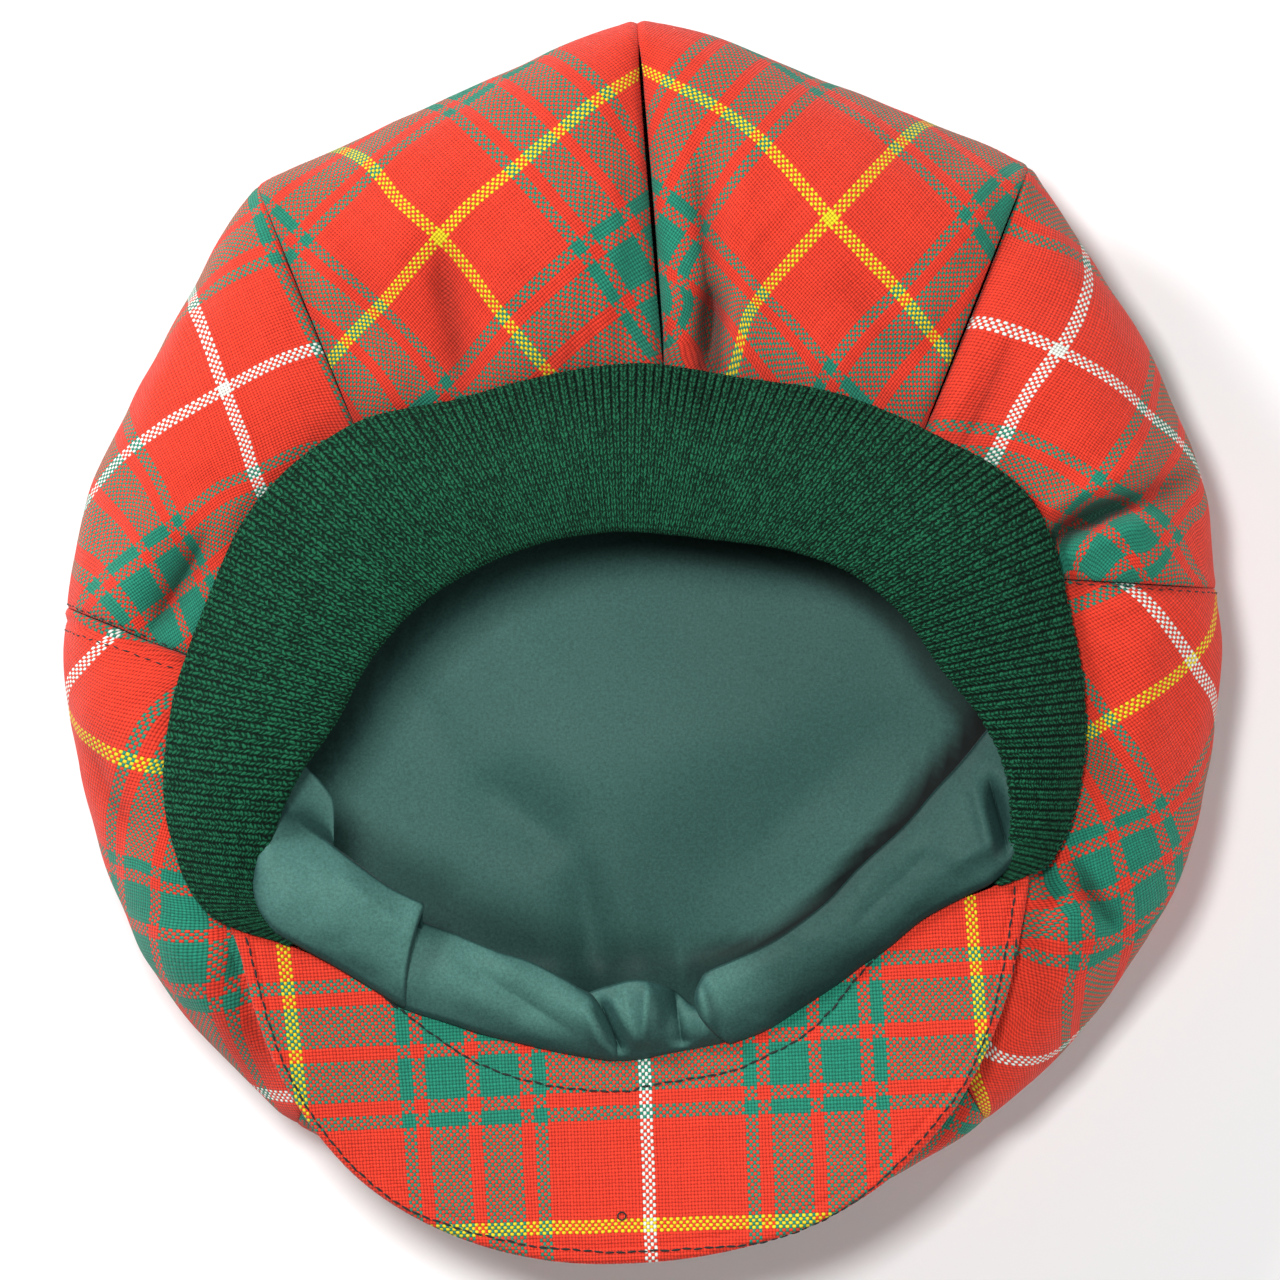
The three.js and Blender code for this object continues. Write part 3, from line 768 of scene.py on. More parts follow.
@dataclass(frozen=True)
class TartanFinish:
    """Worsted tartan in plain weave, read from the pieces' thread coordinates."""

    relief: float = 0.34
    roughness: float = 0.82
    fuzz: float = 0.1
    # How far the painted shade darkens the cloth, and the painted shade's colour.
    painted_shade_strength: float = 0.75
    shade: tuple = (0.012, 0.006, 0.005)

    def make(self) -> bpy.types.Material:
        """Builds the material.

        Returns:
            The material.
        """
        material, nodes, shader = new_material("tartan_worsted")
        threads = nodes.add("ShaderNodeUVMap", uv_map="threads").outputs[0]
        values = {"Vector": threads, "Scale": 0.09, "Detail": 2.0}
        wander = nodes.add("ShaderNodeTexNoise", values, noise_dimensions="2D").outputs["Color"]
        values = {0: wander, 1: (0.5, 0.5, 0.5)}
        centred = nodes.add("ShaderNodeVectorMath", values, operation="SUBTRACT")
        values = {0: centred.outputs[0], 1: (0.5, 0.5, 0), 2: threads}
        strayed = nodes.add("ShaderNodeVectorMath", values, operation="MULTIPLY_ADD").outputs[0]
        weave = nodes.add("ShaderNodeGroup", {}, node_tree=bpy.data.node_groups["plain_weave"])
        nodes.tree.links.new(strayed, weave.inputs["Vector"])
        dyed = []
        for seed, side in enumerate(("Warp", "Weft")):
            group = nodes.add("ShaderNodeGroup", {}, node_tree=bpy.data.node_groups["thread_colour"])
            nodes.tree.links.new(weave.outputs[side], group.inputs["Number"])
            group.inputs["Seed"].default_value = seed + 1
            dyed.append(group.outputs["Color"])
        woven = nodes.mix(weave.outputs["Warp on top"], dyed[1], dyed[0])
        slub = nodes.noise(threads, 0.9, 3, 0.7)
        shade = nodes.math("MULTIPLY_ADD", slub, 0.5, 0.2)
        # Painted shade between threads: the colour darkens where a thread dips under its neighbour; the slub
        # noise varies the yarn's own tone.
        depth = nodes.math("MULTIPLY_ADD", weave.outputs["Height"], 0.66, shade)
        grey = nodes.add("ShaderNodeCombineColor", {0: depth, 1: depth, 2: depth}).outputs[0]
        # Painted shade: the woven colour is mixed towards near-black in the folds, beside the seams and
        # against the band.
        painted_shade = nodes.add("ShaderNodeAttribute", {}, attribute_name="painted_shade").outputs["Fac"]
        shaded = nodes.mix(nodes.math("MULTIPLY", painted_shade, self.painted_shade_strength), woven, (*self.shade, 1))
        colour = nodes.mix(1.0, shaded, grey, "MULTIPLY")
        height = nodes.math("MULTIPLY_ADD", slub, 0.35, weave.outputs["Height"])
        bump = nodes.add("ShaderNodeBump", {"Strength": 0.7, "Distance": self.relief * MM, "Height": height})
        rough = nodes.math("MULTIPLY_ADD", slub, 0.1, self.roughness - 0.05)
        sockets = {
            "Base Color": colour,
            "Roughness": rough,
            "Normal": bump.outputs[0],
            "Sheen Weight": self.fuzz,
            "Sheen Roughness": 0.4,
            "Specular IOR Level": 0.25,
        }
        feed(nodes, shader, sockets)
        return material


@dataclass(frozen=True)
class KnitFinish:
    """Dark green wool in a fine rib, painted lighter where the stitches stand up and painted darker in the
    grooves between the wales.
    """

    deep: tuple = linear(0, 15, 9)
    middle: tuple = linear(3, 54, 34)
    bright: tuple = linear(34, 116, 80)
    relief: float = 0.8

    def make(self) -> bpy.types.Material:
        """Builds the material.

        Returns:
            The material.
        """
        material, nodes, shader = new_material("rib_knit_wool")
        stitches = nodes.add("ShaderNodeUVMap", uv_map="threads").outputs[0]
        knit = nodes.add("ShaderNodeGroup", {}, node_tree=bpy.data.node_groups["knit_stitch"])
        nodes.tree.links.new(stitches, knit.inputs["Vector"])
        place = nodes.add("ShaderNodeTexCoord").outputs["Object"]
        fibre = nodes.noise(place, 1300, 4, 0.75)
        rib = nodes.add("ShaderNodeAttribute", {}, attribute_name="rib_strength").outputs["Fac"]
        # Painted light and shade: stitch tops are painted lighter and the grooves darker, deeper where the
        # ribs are strong; the fibre and chance noise vary the yarn's tone.
        depth = nodes.math("MULTIPLY_ADD", rib, 1.1, 0.28)
        groove = nodes.math("MULTIPLY", knit.outputs["Groove"], depth)
        hairs = nodes.math("MULTIPLY", fibre, 0.68)
        picked = nodes.math("MULTIPLY_ADD", knit.outputs["Chance"], 0.14, hairs)
        lit = nodes.math("MULTIPLY_ADD", knit.outputs["Height"], 0.42, picked)
        shaded = nodes.math("SUBTRACT", lit, groove)
        stops = [(0.43, self.deep), (0.62, self.middle), (0.8, self.bright)]
        colour = nodes.ramp(shaded, stops)
        raised = nodes.math("SUBTRACT", knit.outputs["Height"], groove)
        height = nodes.math("MULTIPLY_ADD", fibre, 1.6, raised)
        bump = nodes.add("ShaderNodeBump", {"Strength": 0.9, "Distance": self.relief * MM, "Height": height})
        sockets = {
            "Base Color": colour,
            "Roughness": 0.95,
            "Normal": bump.outputs[0],
            "Sheen Weight": 0.08,
            "Sheen Roughness": 0.5,
            "Sheen Tint": (*linear(120, 200, 160), 1),
            "Specular IOR Level": 0.15,
        }
        feed(nodes, shader, sockets)
        return material


@dataclass(frozen=True)
class SatinFinish:
    """Teal-green lining satin: a soft broad gloss over a very fine twill."""

    face: tuple = linear(75, 118, 110)
    slope: tuple = linear(7, 32, 38)
    shade: tuple = linear(1, 7, 7)
    grain_depth: float = 0.62
    roughness: float = 0.5

    def make(self) -> bpy.types.Material:
        """Builds the material. The cloth is shot, so it turns bluer where it faces away; the darkening there
        is painted shade that stands in for the satin's gloss.

        Returns:
            The material.
        """
        material, nodes, shader = new_material("teal_satin")
        place = nodes.add("ShaderNodeTexCoord").outputs["Object"]
        grain = nodes.noise(place, 1500, 3, 0.75)
        crumple = nodes.noise(place, 190, 3, 0.55)
        # Painted shade: aslant to the camera, the colour turns from face to the darker, bluer slope colour.
        turned = nodes.add("ShaderNodeLayerWeight", {"Blend": 0.5}).outputs["Facing"]
        aslant = nodes.math("MINIMUM", nodes.math("MULTIPLY", turned, 2.4), 0.62)
        tone = nodes.mix(aslant, (*self.face, 1), (*self.slope, 1))
        depth = nodes.math("MULTIPLY_ADD", grain, self.grain_depth * 2, 1 - self.grain_depth)
        grey = nodes.add("ShaderNodeCombineColor", {0: depth, 1: depth, 2: depth}).outputs[0]
        lit = nodes.mix(1.0, tone, grey, "MULTIPLY")
        # Painted shadow: the colour is mixed towards near-black teal beside the strip, under the band and on
        # the strip's right arm.
        painted_shade = nodes.add("ShaderNodeAttribute", {}, attribute_name="painted_shade").outputs["Fac"]
        colour = nodes.mix(painted_shade, lit, (*self.shade, 1))
        height = nodes.math("MULTIPLY_ADD", grain, 0.12, crumple)
        bump = nodes.add("ShaderNodeBump", {"Strength": 0.2, "Distance": 0.35 * MM, "Height": height})
        sockets = {
            "Base Color": colour,
            "Roughness": nodes.math("MULTIPLY_ADD", grain, 0.1, self.roughness - 0.05),
            "Normal": bump.outputs[0],
            "Sheen Weight": 0.03,
            "Sheen Roughness": 0.3,
            "Specular IOR Level": 0.09,
        }
        feed(nodes, shader, sockets)
        return material


@dataclass(frozen=True)
class ThreadFinish:
    """Twisted dark green sewing thread."""

    base: tuple = linear(16, 26, 22)

    def make(self) -> bpy.types.Material:
        """Builds the material.

        Returns:
            The material.
        """
        material, nodes, shader = new_material("dark_sewing_thread")
        place = nodes.add("ShaderNodeTexCoord").outputs["Object"]
        twist = nodes.noise(place, 3200, 2)
        colour = nodes.ramp(twist, [(0.3, tuple(0.5 * c for c in self.base)), (0.8, self.base)])
        feed(nodes, shader, {"Base Color": colour, "Roughness": 0.7, "Sheen Weight": 0.1})
        return material


def make_finishes() -> Finishes:
    """Builds the node groups and then the materials.

    Returns:
        The materials.
    """
    thread_colour_group()
    plain_weave_group()
    knit_stitch_group()
    return Finishes(*(finish().make() for finish in (TartanFinish, KnitFinish, SatinFinish, ThreadFinish)))


@dataclass(frozen=True)
class Seam:
    """A seam of the crown: its bearings where it turns under and at the rim, and its form.

    The crease is how deep the cloth rolls in at the stitches, and the welt how far from them the
    pressed edge of the turning shows as a second line on the next panel.
    """

    edge: float
    rim: float
    corner: float
    edge_height: float
    valley: float
    crease: float = 1.0
    welt: float = 0.0


@dataclass(frozen=True)
class Stripe:
    """How the tartan lies on a panel, seen from above.

    The stripe of one pivot runs through start and towards; the stripe of the other crosses it at
    right angles, through cross.
    """

    start: tuple[float, float]
    towards: tuple[float, float]
    cross: tuple[float, float]
    pivots: tuple[int, int]


@dataclass(frozen=True)
class PanelCut:
    """A panel of the crown, from its own seam round to the next one."""

    name: str
    quarter: float
    half: float
    three_quarters: float
    puff: float
    stripe: Stripe
    marks: Table | None = None


@dataclass
class Crown:
    """The eight tartan panels and the covered button under them."""

    centre: tuple[float, float] = (0.0, -6.2)
    cloth: float = 1.6
    tip_radius: float = 2.6
    flat_radius: float = 62
    button_lift: float = 5.6
    button_clear_radius: float = 11.5
    button_dip_radius: float = 33
    underside_roundness: float = 2.2
    flat_share: float = 0.45
    overhang_curve: float = 1.8
    shoulder_fullness: float = 0.8
    valley_width: float = 7
    seam_gap: float = 0.06
    columns: int = 96
    underside_rows: int = 46
    upper_rows: int = 84
    probe: float = 0.01
    gathers: int = 7
    gather_height: float = 0.3
    seam_calm: float = 6
    welt_depth: float = 0.8
    welt_ridge: float = 0.5
    # Painted shade: how deep a fold is before it is fully dark, and how dark the seams and the rim are
    # painted.
    darkest_fold: float = 6.5
    seam_shade: float = 0.35
    rim_shade: float = 0.5
    button_pleats: int = 22
    button_pleat_depth: float = 0.12

    slack = Wrinkles(2.0, 29, 3.1)
    crumple = Wrinkles(0.75, 12, 8.7)
    unevenness = Wrinkles(0.15, 14, 5.3)
    gather_stray = Wrinkles(1.9, 22, 1.7)
    gather_fade = Wrinkles(0.5, 31, 6.9)

    button = Table(
        "step reach height",
        (0, 0, 0.0),
        (1, 4.6, 0.15),
        (2, 7.6, 0.95),
        (3, 9.3, 2.3),
        (4, 9.9, 3.6),
        (5, 9.2, 4.7),
        (6, 5.0, 4.8),
        (7, 0, 4.8),
    )
    seams = (
        Seam(90.5, 85.9, 154.0, 27, 5.2, 1.3),
        Seam(128.8, 134.3, 146.5, 27, 2.0, 0.4),
        Seam(174.3, 171.7, 137.9, 26, 1.2, 0.5, 2.9),
        Seam(233.0, 222.0, 136.7, 29, 1.0, 0.2),
        Seam(270.0, 270.0, 135.0, 31, 0.6, 0.2),
        Seam(307.0, 318.0, 135.5, 29, 1.0, 0.2),
        Seam(367.6, 379.6, 137.9, 26, 1.2, 0.4),
        Seam(412.2, 405.3, 150.5, 27, 4.6, 0.7),
        Seam(450.5, 445.9, 154.0, 27, 5.2, 1.3),
    )
    both_yellow = (YELLOW_PIVOT, YELLOW_PIVOT)
    both_white = (WHITE_PIVOT, WHITE_PIVOT)
    panels = (
        PanelCut(
            "back_left", 146.7, 143.1, 143.1, 7.0,
            Stripe((-48.2, 95.7), (-19.6, 64.0), (-48.2, 95.7), both_yellow),
            Table(
                "x y warp weft",
                (-48.2, 95.5, 0, 0), (-73.2, 117.4, 0, ANY), (-57.7, 103.3, 0, ANY), (-41.1, 87.4, 0, ANY),
                (-22.0, 63.6, 0, ANY), (-72.5, 67.4, ANY, 0), (-39.9, 104.5, ANY, 0), (-3.0, 132.6, ANY, 0),
                (-30.8, 111.2, 32, 0), (-19.2, 119.8, 52, 0), (-8.9, 129.5, 72, 0), (-62.3, 79.0, -32, 0),
                (-66.8, 74.0, -44, 0), (-33.2, 76.9, 0, 32), (-27.5, 69.5, 0, 44), (-63.7, 111.0, 0, -32),
                (-14.9, 92.6, 32, 32), (-80.4, 95.0, -32, -32), (-46.1, 125.5, 32, -32),
                (-46.3, 60.2, -32, 32),
            ),
        ),
        PanelCut(
            "left_rear", 140.0, 137.0, 137.3, 4.0,
            Stripe((-99.9, 58.8), (-89.9, 35.5), (-99.9, 58.8), both_white),
            Table(
                "x y warp weft",
                (-99.4, 59.0, 104, 104), (-104.6, 73.6, 104, ANY), (-94.5, 46.4, 104, ANY),
                (-83.9, 66.9, ANY, 104), (-109.0, 53.3, ANY, 104), (-133.0, 28.6, ANY, 104),
                (-119.9, 46.4, 72, 104), (-125.8, 40.2, 60, 104), (-129.9, 35.0, 52, 104),
                (-76.8, 69.3, 136, 104), (-91.9, 39.5, 104, 136), (-106.8, 80.2, 104, 72),
                (-110.1, 27.4, 72, 136), (-82.0, 44.5, ANY, 136), (-100.6, 35.7, ANY, 136),
                (-118.9, 22.8, 52, ANY), (-133.7, 19.8, 36, ANY), (-124.2, 11.0, 36, ANY),
                (-88.7, 89.8, ANY, 72),
            ),
        ),
        PanelCut(
            "left_fore", 136.5, 136.2, 136.7, 2.0,
            Stripe((-132.0, -21.2), (-112.5, -31.2), (-129.2, -4.3), (YELLOW_PIVOT, WHITE_PIVOT)),
            Table(
                "x y weft warp",
                (-121.8, -28.1, 136, 0), (-118.7, -29.8, 140, 0), (-126.1, -51.5, 136, 32),
                (-119.6, -54.0, 148, 32), (-110.0, -56.5, 164, 32), (-119.6, -61.9, 148, 44),
                (-108.6, -64.4, 164, 44), (-107.9, -76.2, 164, 60), (-106.1, -86.2, 164, 72),
                (-124.2, 1.9, 104, -32), (-98.2, -85.2, 176, 72), (-135.7, -9.5, 104, ANY),
                (-131.8, -5.5, 104, ANY), (-135.4, -19.4, ANY, 0), (-130.4, -23.3, ANY, 0),
                (-116.4, -17.6, 136, ANY), (-125.0, -38.3, 136, ANY), (-112.9, -45.5, 156, ANY),
                (-115.0, -69.8, 156, ANY), (-86.4, -109.0, ANY, 104),
            ),
        ),
        PanelCut(
            "front_left", 136.0, 135.5, 135.2, 1.0,
            Stripe((-30.0, -118.0), (-12.0, -104.0), (-30.0, -118.0), both_white),
        ),
        PanelCut(
            "front_right", 135.2, 135.3, 135.4, 1.0,
            Stripe((30.0, -118.0), (12.0, -104.0), (30.0, -118.0), both_white),
        ),
        PanelCut(
            "right_fore", 136.2, 136.7, 137.1, 2.0,
            Stripe((130.4, -5.0), (116.1, 11.7), (130.4, -5.0), (WHITE_PIVOT, YELLOW_PIVOT)),
            Table(
                "x y warp weft",
                (130.5, -5.0, 104, 0), (119.4, 8.8, 104, ANY), (135.5, -14.0, 104, ANY), (135.5, 4.5, ANY, 0),
                (120.8, -13.0, ANY, 0), (110.4, -18.8, 136, 0), (105.4, -21.9, 146, 0),
                (114.2, 13.3, 104, -32),
                (104.4, -9.8, 136, ANY), (117.3, -28.3, 136, ANY), (123.7, -39.3, 136, 32),
                (105.1, -46.2, 164, 32), (111.5, -47.4, 156, 36), (107.3, -54.8, 164, 44),
                (117.6, -49.8, 148, 44), (110.1, -66.2, 164, 60), (110.1, -75.1, 164, 72),
                (102.6, -76.9, 176, 72), (100.5, -93.3, 176, ANY), (95.1, -99.8, ANY, 104),
                (84.4, -98.7, ANY, 104), (79.0, -104.0, 208, ANY), (75.5, -116.9, 208, ANY),
            ),
        ),
        PanelCut(
            "right_rear", 140.1, 141.5, 143.9, 4.5,
            Stripe((98.9, 68.1), (106.5, 92.6), (98.9, 68.1), both_white),
            Table(
                "x y warp weft",
                (98.9, 68.1, 104, 104), (119.6, 55.7, 136, 104), (85.6, 49.0, 104, 72), (82.3, 41.4, 104, 60),
                (106.5, 89.8, 104, 136), (107.7, 38.1, 136, 72), (89.9, 56.9, 104, ANY),
                (104.2, 77.1, 104, ANY),
                (80.4, 75.0, ANY, 104), (92.3, 71.2, ANY, 104), (128.7, 46.7, ANY, 104),
                (113.7, 46.2, 136, ANY), (97.0, 45.0, ANY, 72), (94.6, 95.0, ANY, 136),
            ),
        ),
        PanelCut(
            "back_right", 146.2, 146.0, 148.8, 7.0,
            Stripe((44.6, 100.2), (22.0, 62.9), (44.6, 100.2), both_yellow),
            Table(
                "x y weft warp",
                (44.6, 99.8, 0, 0), (60.6, 117.1, 32, 0), (67.5, 122.6, 52, 0), (28.0, 81.2, -32, 0),
                (24.9, 76.9, -44, 0), (29.2, 117.1, 0, -32), (22.7, 123.1, 0, -44), (60.8, 81.9, 0, 32),
                (65.6, 76.4, 0, 44), (44.2, 64.5, -32, 32), (76.8, 100.5, 32, 32), (15.4, 97.4, -32, -32),
                (41.8, 130.7, 32, -32), (5.4, 131.9, 0, ANY), (37.5, 108.1, 0, ANY), (72.0, 68.8, 0, ANY),
                (21.5, 62.9, ANY, 0), (54.2, 110.5, ANY, 0),
            ),
        ),
    )
    folds = (
        Dent(-45.5, 77.0, -80, 36, 7.0, 4.2),
        Dent(-66.0, 84.0, -62, 32, 7.0, 2.2),
        Dent(-110.5, 12.0, 60, 28, 5.0, 5.0),
        Dent(-127.0, -34.0, -65, 30, 6.0, 3.4),
        Dent(-94.0, -85.0, -73, 42, 4.0, 2.5),
        Dent(94.5, -57.0, -70, 14, 3.5, 3.0),
        Dent(106.5, -61.0, -51.5, 19, 2.2, 5.2),
        Dent(109.0, -32.0, -38, 18, 4.0, 1.8),
        Dent(114.5, 32.2, 23.8, 42, 3.4, 4.6),
        Dent(105.5, 28.6, 27, 22, 2.6, 4.6),
        Dent(82.0, 58.8, 65, 30, 5.5, 3.4),
        Dent(15.0, 88.0, 94, 56, 5.0, 4.6),
        Dent(15.8, 72.0, 86, 22, 3.4, 4.4),
        Dent(56.0, 74.0, -55, 28, 6.0, 2.4),
    )

    def edge(self, panel: int, share: Numbers) -> tuple[Numbers, Numbers]:
        """Follows the crown's widest edge across a panel.

        Args:
            panel: the panel's number.
            share: places across the panel, 0 to 1.

        Returns:
            The edge's points, and the bearings of the rim there.
        """
        a, b, cut = self.seams[panel], self.seams[panel + 1], self.panels[panel]
        reaches = (a.corner, cut.quarter, cut.half, cut.three_quarters, b.corner)
        reach = Table("share reach", *zip((0, 0.25, 0.5, 0.75, 1), reaches)).read("reach", share)
        height = lerp(a.edge_height, b.edge_height, smooth(share))
        point = round_from(self.centre, lerp(a.edge, b.edge, share), reach, height)
        return point, lerp(a.rim, b.rim, share)

    def underside(self, panel: int, share: Numbers, out: Numbers) -> Numbers:
        """Shapes the crown's lower half.

        Args:
            panel: the panel's number.
            share: places across the panel, 0 to 1.
            out: places from the tip at 0 to the widest edge at 1.

        Returns:
            The points.
        """
        edge, _ = self.edge(panel, share)
        arm = edge[..., :2] - np.array(self.centre)
        full = np.linalg.norm(arm, axis=-1)
        turn = np.clip((out - self.flat_share) / (1 - self.flat_share), 0, 1) * np.pi / 2
        power = 2 / self.underside_roundness
        flat = lerp(self.tip_radius, self.flat_radius, out / self.flat_share)
        curved = self.flat_radius + (full - self.flat_radius) * np.sin(turn) ** power
        radius = np.where(out > self.flat_share, curved, flat)
        height = edge[..., 2] * (1 - np.maximum(np.cos(turn), 0) ** power)
        dip = (radius - self.button_clear_radius) / (self.button_dip_radius - self.button_clear_radius)
        height = height + self.button_lift * (1 - smooth(dip))
        place = np.array(self.centre) + arm * (radius / full)[..., None]
        return np.concatenate([place, height[..., None]], axis=-1)

    def across(self, panel: int, share: Numbers, point: Numbers) -> tuple[Numbers, Numbers]:
        """Measures across a panel.

        Args:
            panel: the panel's number.
            share: places across the panel, 0 to 1.
            point: the places.

        Returns:
            How wide the panel is at the places, and how far they lie from the nearer seam.
        """
        arc = np.radians(self.seams[panel + 1].edge - self.seams[panel].edge)
        width = arc * np.hypot(point[..., 0] - self.centre[0], point[..., 1] - self.centre[1])
        return width, np.minimum(share, 1 - share) * width

    def pull(self, panel: int, share: Numbers, inward: Numbers, point: Numbers) -> Numbers:
        """How far folds and seams pull the cloth down on the crown's upper side.

        Args:
            panel: the panel's number.
            share: places across the panel, 0 to 1.
            inward: how far the places lie from the widest edge towards the rim, 0 to 1.
            point: the places.

        Returns:
            The drop in millimetres.
        """
        width, _ = self.across(panel, share, point)
        total = sum(fold.drop(point) for fold in self.folds) * smooth(inward / 0.08)
        for seam, off in ((self.seams[panel], share * width), (self.seams[panel + 1], (1 - share) * width)):
            total += smooth(inward / 0.2) * seam.valley * np.exp(-((off / self.valley_width) ** 1.5))
        return total * smooth((1 - inward) / 0.12)

    def upper(self, panel: int, share: Numbers, along: Numbers) -> Numbers:
        """Points of the crown's upper half, from the widest edge at 0 in to the rim at 1.

        Args:
            panel: the panel's number.
            share: places across the panel, 0 to 1.
            along: places from the widest edge to the rim.

        Returns:
            The points.
        """
        edge, bearing = self.edge(panel, share)
        rim = rim_point(bearing)
        inward = along**self.overhang_curve
        climb = np.sin(np.clip(along, 0, 1) * np.pi / 2) ** self.shoulder_fullness
        point = lerp(edge, rim, inward[..., None])
        swell = 0.45 + 0.55 * 4 * share * (1 - share)
        height = lerp(edge[..., 2], rim[..., 2], climb)
        height = height + self.panels[panel].puff * np.sin(np.pi * inward**0.8) * swell
        height = height - self.pull(panel, share, inward, point)
        room = np.maximum(Peak.room_under(point), edge[..., 2])
        point[..., 2] = np.minimum(height, room)
        return point

    def base(self, panel: int, share: Numbers, way: Numbers) -> Numbers:
        """Shapes a whole panel, without its small wrinkles.

        Args:
            panel: the panel's number.
            share: places across the panel, 0 to 1.
            way: places from the tip at 0 by the widest edge at 1 to the rim at 2.

        Returns:
            The points.
        """
        share, way = np.broadcast_arrays(share, way)
        low = self.underside(panel, share, np.clip(way, 0, 1))
        high = self.upper(panel, share, np.clip(way - 1, 0, 1))
        return np.where((way > 1)[..., None], high, low)

    def surface(self, panel: int, share: Numbers, way: Numbers) -> Numbers:
        """Shapes the finished cloth, with small wrinkles and with its edges rolled into the seams.

        Args:
            panel: the panel's number.
            share: places across the panel, 0 to 1.
            way: places from the tip at 0 by the widest edge at 1 to the rim at 2.

        Returns:
            The points.
        """
        share, way = np.broadcast_arrays(share, way)
        point = self.base(panel, share, way)
        before, after = np.maximum(way - self.probe, 0), np.minimum(way + self.probe, 2)
        by_way = self.base(panel, share, after) - self.base(panel, share, before)
        before, after = np.maximum(share - self.probe, 0), np.minimum(share + self.probe, 1)
        by_share = self.base(panel, after, way) - self.base(panel, before, way)
        normal = unit(np.cross(by_share, by_way))
        width, seam = self.across(panel, share, point)
        upper = smooth((way - 0.85) / 0.3)
        near_rim = smooth((way - 1.35) / 0.4) * smooth((2 - way) / 0.05)
        detail = upper * (self.slack.rise(point, panel) + self.crumple.rise(point, panel))
        detail += self.unevenness.rise(point, panel)
        gather = np.sin((share * self.gathers + self.gather_stray.rise(point, panel)) * 2 * np.pi)
        fade = self.gather_fade.height + self.gather_fade.rise(point, panel)
        detail += self.gather_height * near_rim * gather * fade
        detail *= smooth(seam / self.seam_calm)
        first, last = self.seams[panel], self.seams[panel + 1]
        for rolled, off in ((first, share * width), (last, (1 - share) * width)):
            spread = 0.55 + 0.35 * rolled.crease
            detail -= rolled.crease * np.exp(-((off / spread) ** 1.5)) * smooth(way / 0.2)
        if first.welt:
            off = (share * width - first.welt) / 0.8
            detail -= self.welt_depth * np.exp(-(off**2)) * upper
            detail += self.welt_ridge * np.exp(-((off * 0.5 + 0.9) ** 2)) * upper
        detail = np.where(point[..., 2] < 1.0, np.minimum(detail, 0.0), detail)
        return point + normal * detail[..., None]

    def threads(self, points: Numbers, first_upper: int, cut: PanelCut) -> Numbers:
        """Thread numbers over a panel, as if it were cut flat from the cloth and then eased to its marks.

        Args:
            points: the panel's points, columns by rows.
            first_upper: the first row on the upper side, which the stripe's places are on.
            cut: the panel's cut, with the way the tartan lies on it.

        Returns:
            Warp and weft numbers at each point.
        """
        middle = points.shape[0] // 2
        steps = np.linalg.norm(np.diff(points, axis=0), axis=-1)
        u = np.concatenate([np.zeros((1, points.shape[1])), np.cumsum(steps, axis=0)])
        u = u - u[middle]
        rise = np.linalg.norm(np.diff(points[middle], axis=0), axis=-1)
        v = np.broadcast_to(np.concatenate([[0], np.cumsum(rise)]), u.shape)
        flat = np.stack([u, v], axis=-1)
        seen, lying = (grid[:, first_upper:].reshape(-1, grid.shape[-1]) for grid in (points[..., :2], flat))

        def laid_flat(place: Sequence[float]) -> Numbers:
            """Finds where a place seen from above lies on the flat cloth.

            Args:
                place: its x and y.

            Returns:
                The place on the flat cloth.
            """
            gap = np.hypot(*(seen - np.array(place)).T)
            near = np.argsort(gap)[:4]
            weight = 1 / (gap[near] + 0.05)
            return (lying[near] * weight[:, None]).sum(axis=0) / weight.sum()

        stripe = cut.stripe
        start, towards, cross = (laid_flat(place) for place in (stripe.start, stripe.towards, stripe.cross))
        along = unit(towards - start)
        square = np.array([-along[1], along[0]])
        widest = flat[middle, first_upper, 1]
        numbers = []
        for side, (way, origin) in enumerate(((square, start), (along, cross))):
            number = (flat - origin) @ way / THREAD_PITCH + stripe.pivots[side]
            if cut.marks:
                name = ("warp", "weft")[side]
                number = number + self.easing(cut.marks, name, laid_flat, flat, widest, number)
            numbers.append(number)
        return np.stack(numbers, axis=-1)

    @staticmethod
    def easing(
        marks: Table, side: str, laid_flat: Callable, flat: Numbers, widest: float, number: Numbers
    ) -> Numbers:
        """How far the cloth is eased aside so that its stripes pass through their marks.

        Args:
            marks: places seen from above, with the thread numbers there.
            side: warp or weft.
            laid_flat: finds a place on the flat cloth.
            flat: the grid's places on the flat cloth.
            widest: how far up the flat cloth the panel is at its widest.
            number: the grid's thread numbers before easing.

        Returns:
            What to add to the thread numbers.
        """
        known = ~np.isnan(marks.columns[side])
        wanted = marks.columns[side][known]
        places = np.stack([marks.columns["x"][known], marks.columns["y"][known]], axis=-1)
        lying = np.array([laid_flat(place) for place in places])
        grid, values = flat.reshape(-1, 2), number.reshape(-1)
        guess = np.array([values[np.argmin(np.hypot(*(grid - place).T))] for place in lying])
        ease = spread_between(lying / EASING_SPAN, nearest_alike(wanted, guess) - guess)
        kept = np.stack([flat[..., 0], np.maximum(flat[..., 1], widest)], axis=-1)
        return ease(kept / EASING_SPAN)

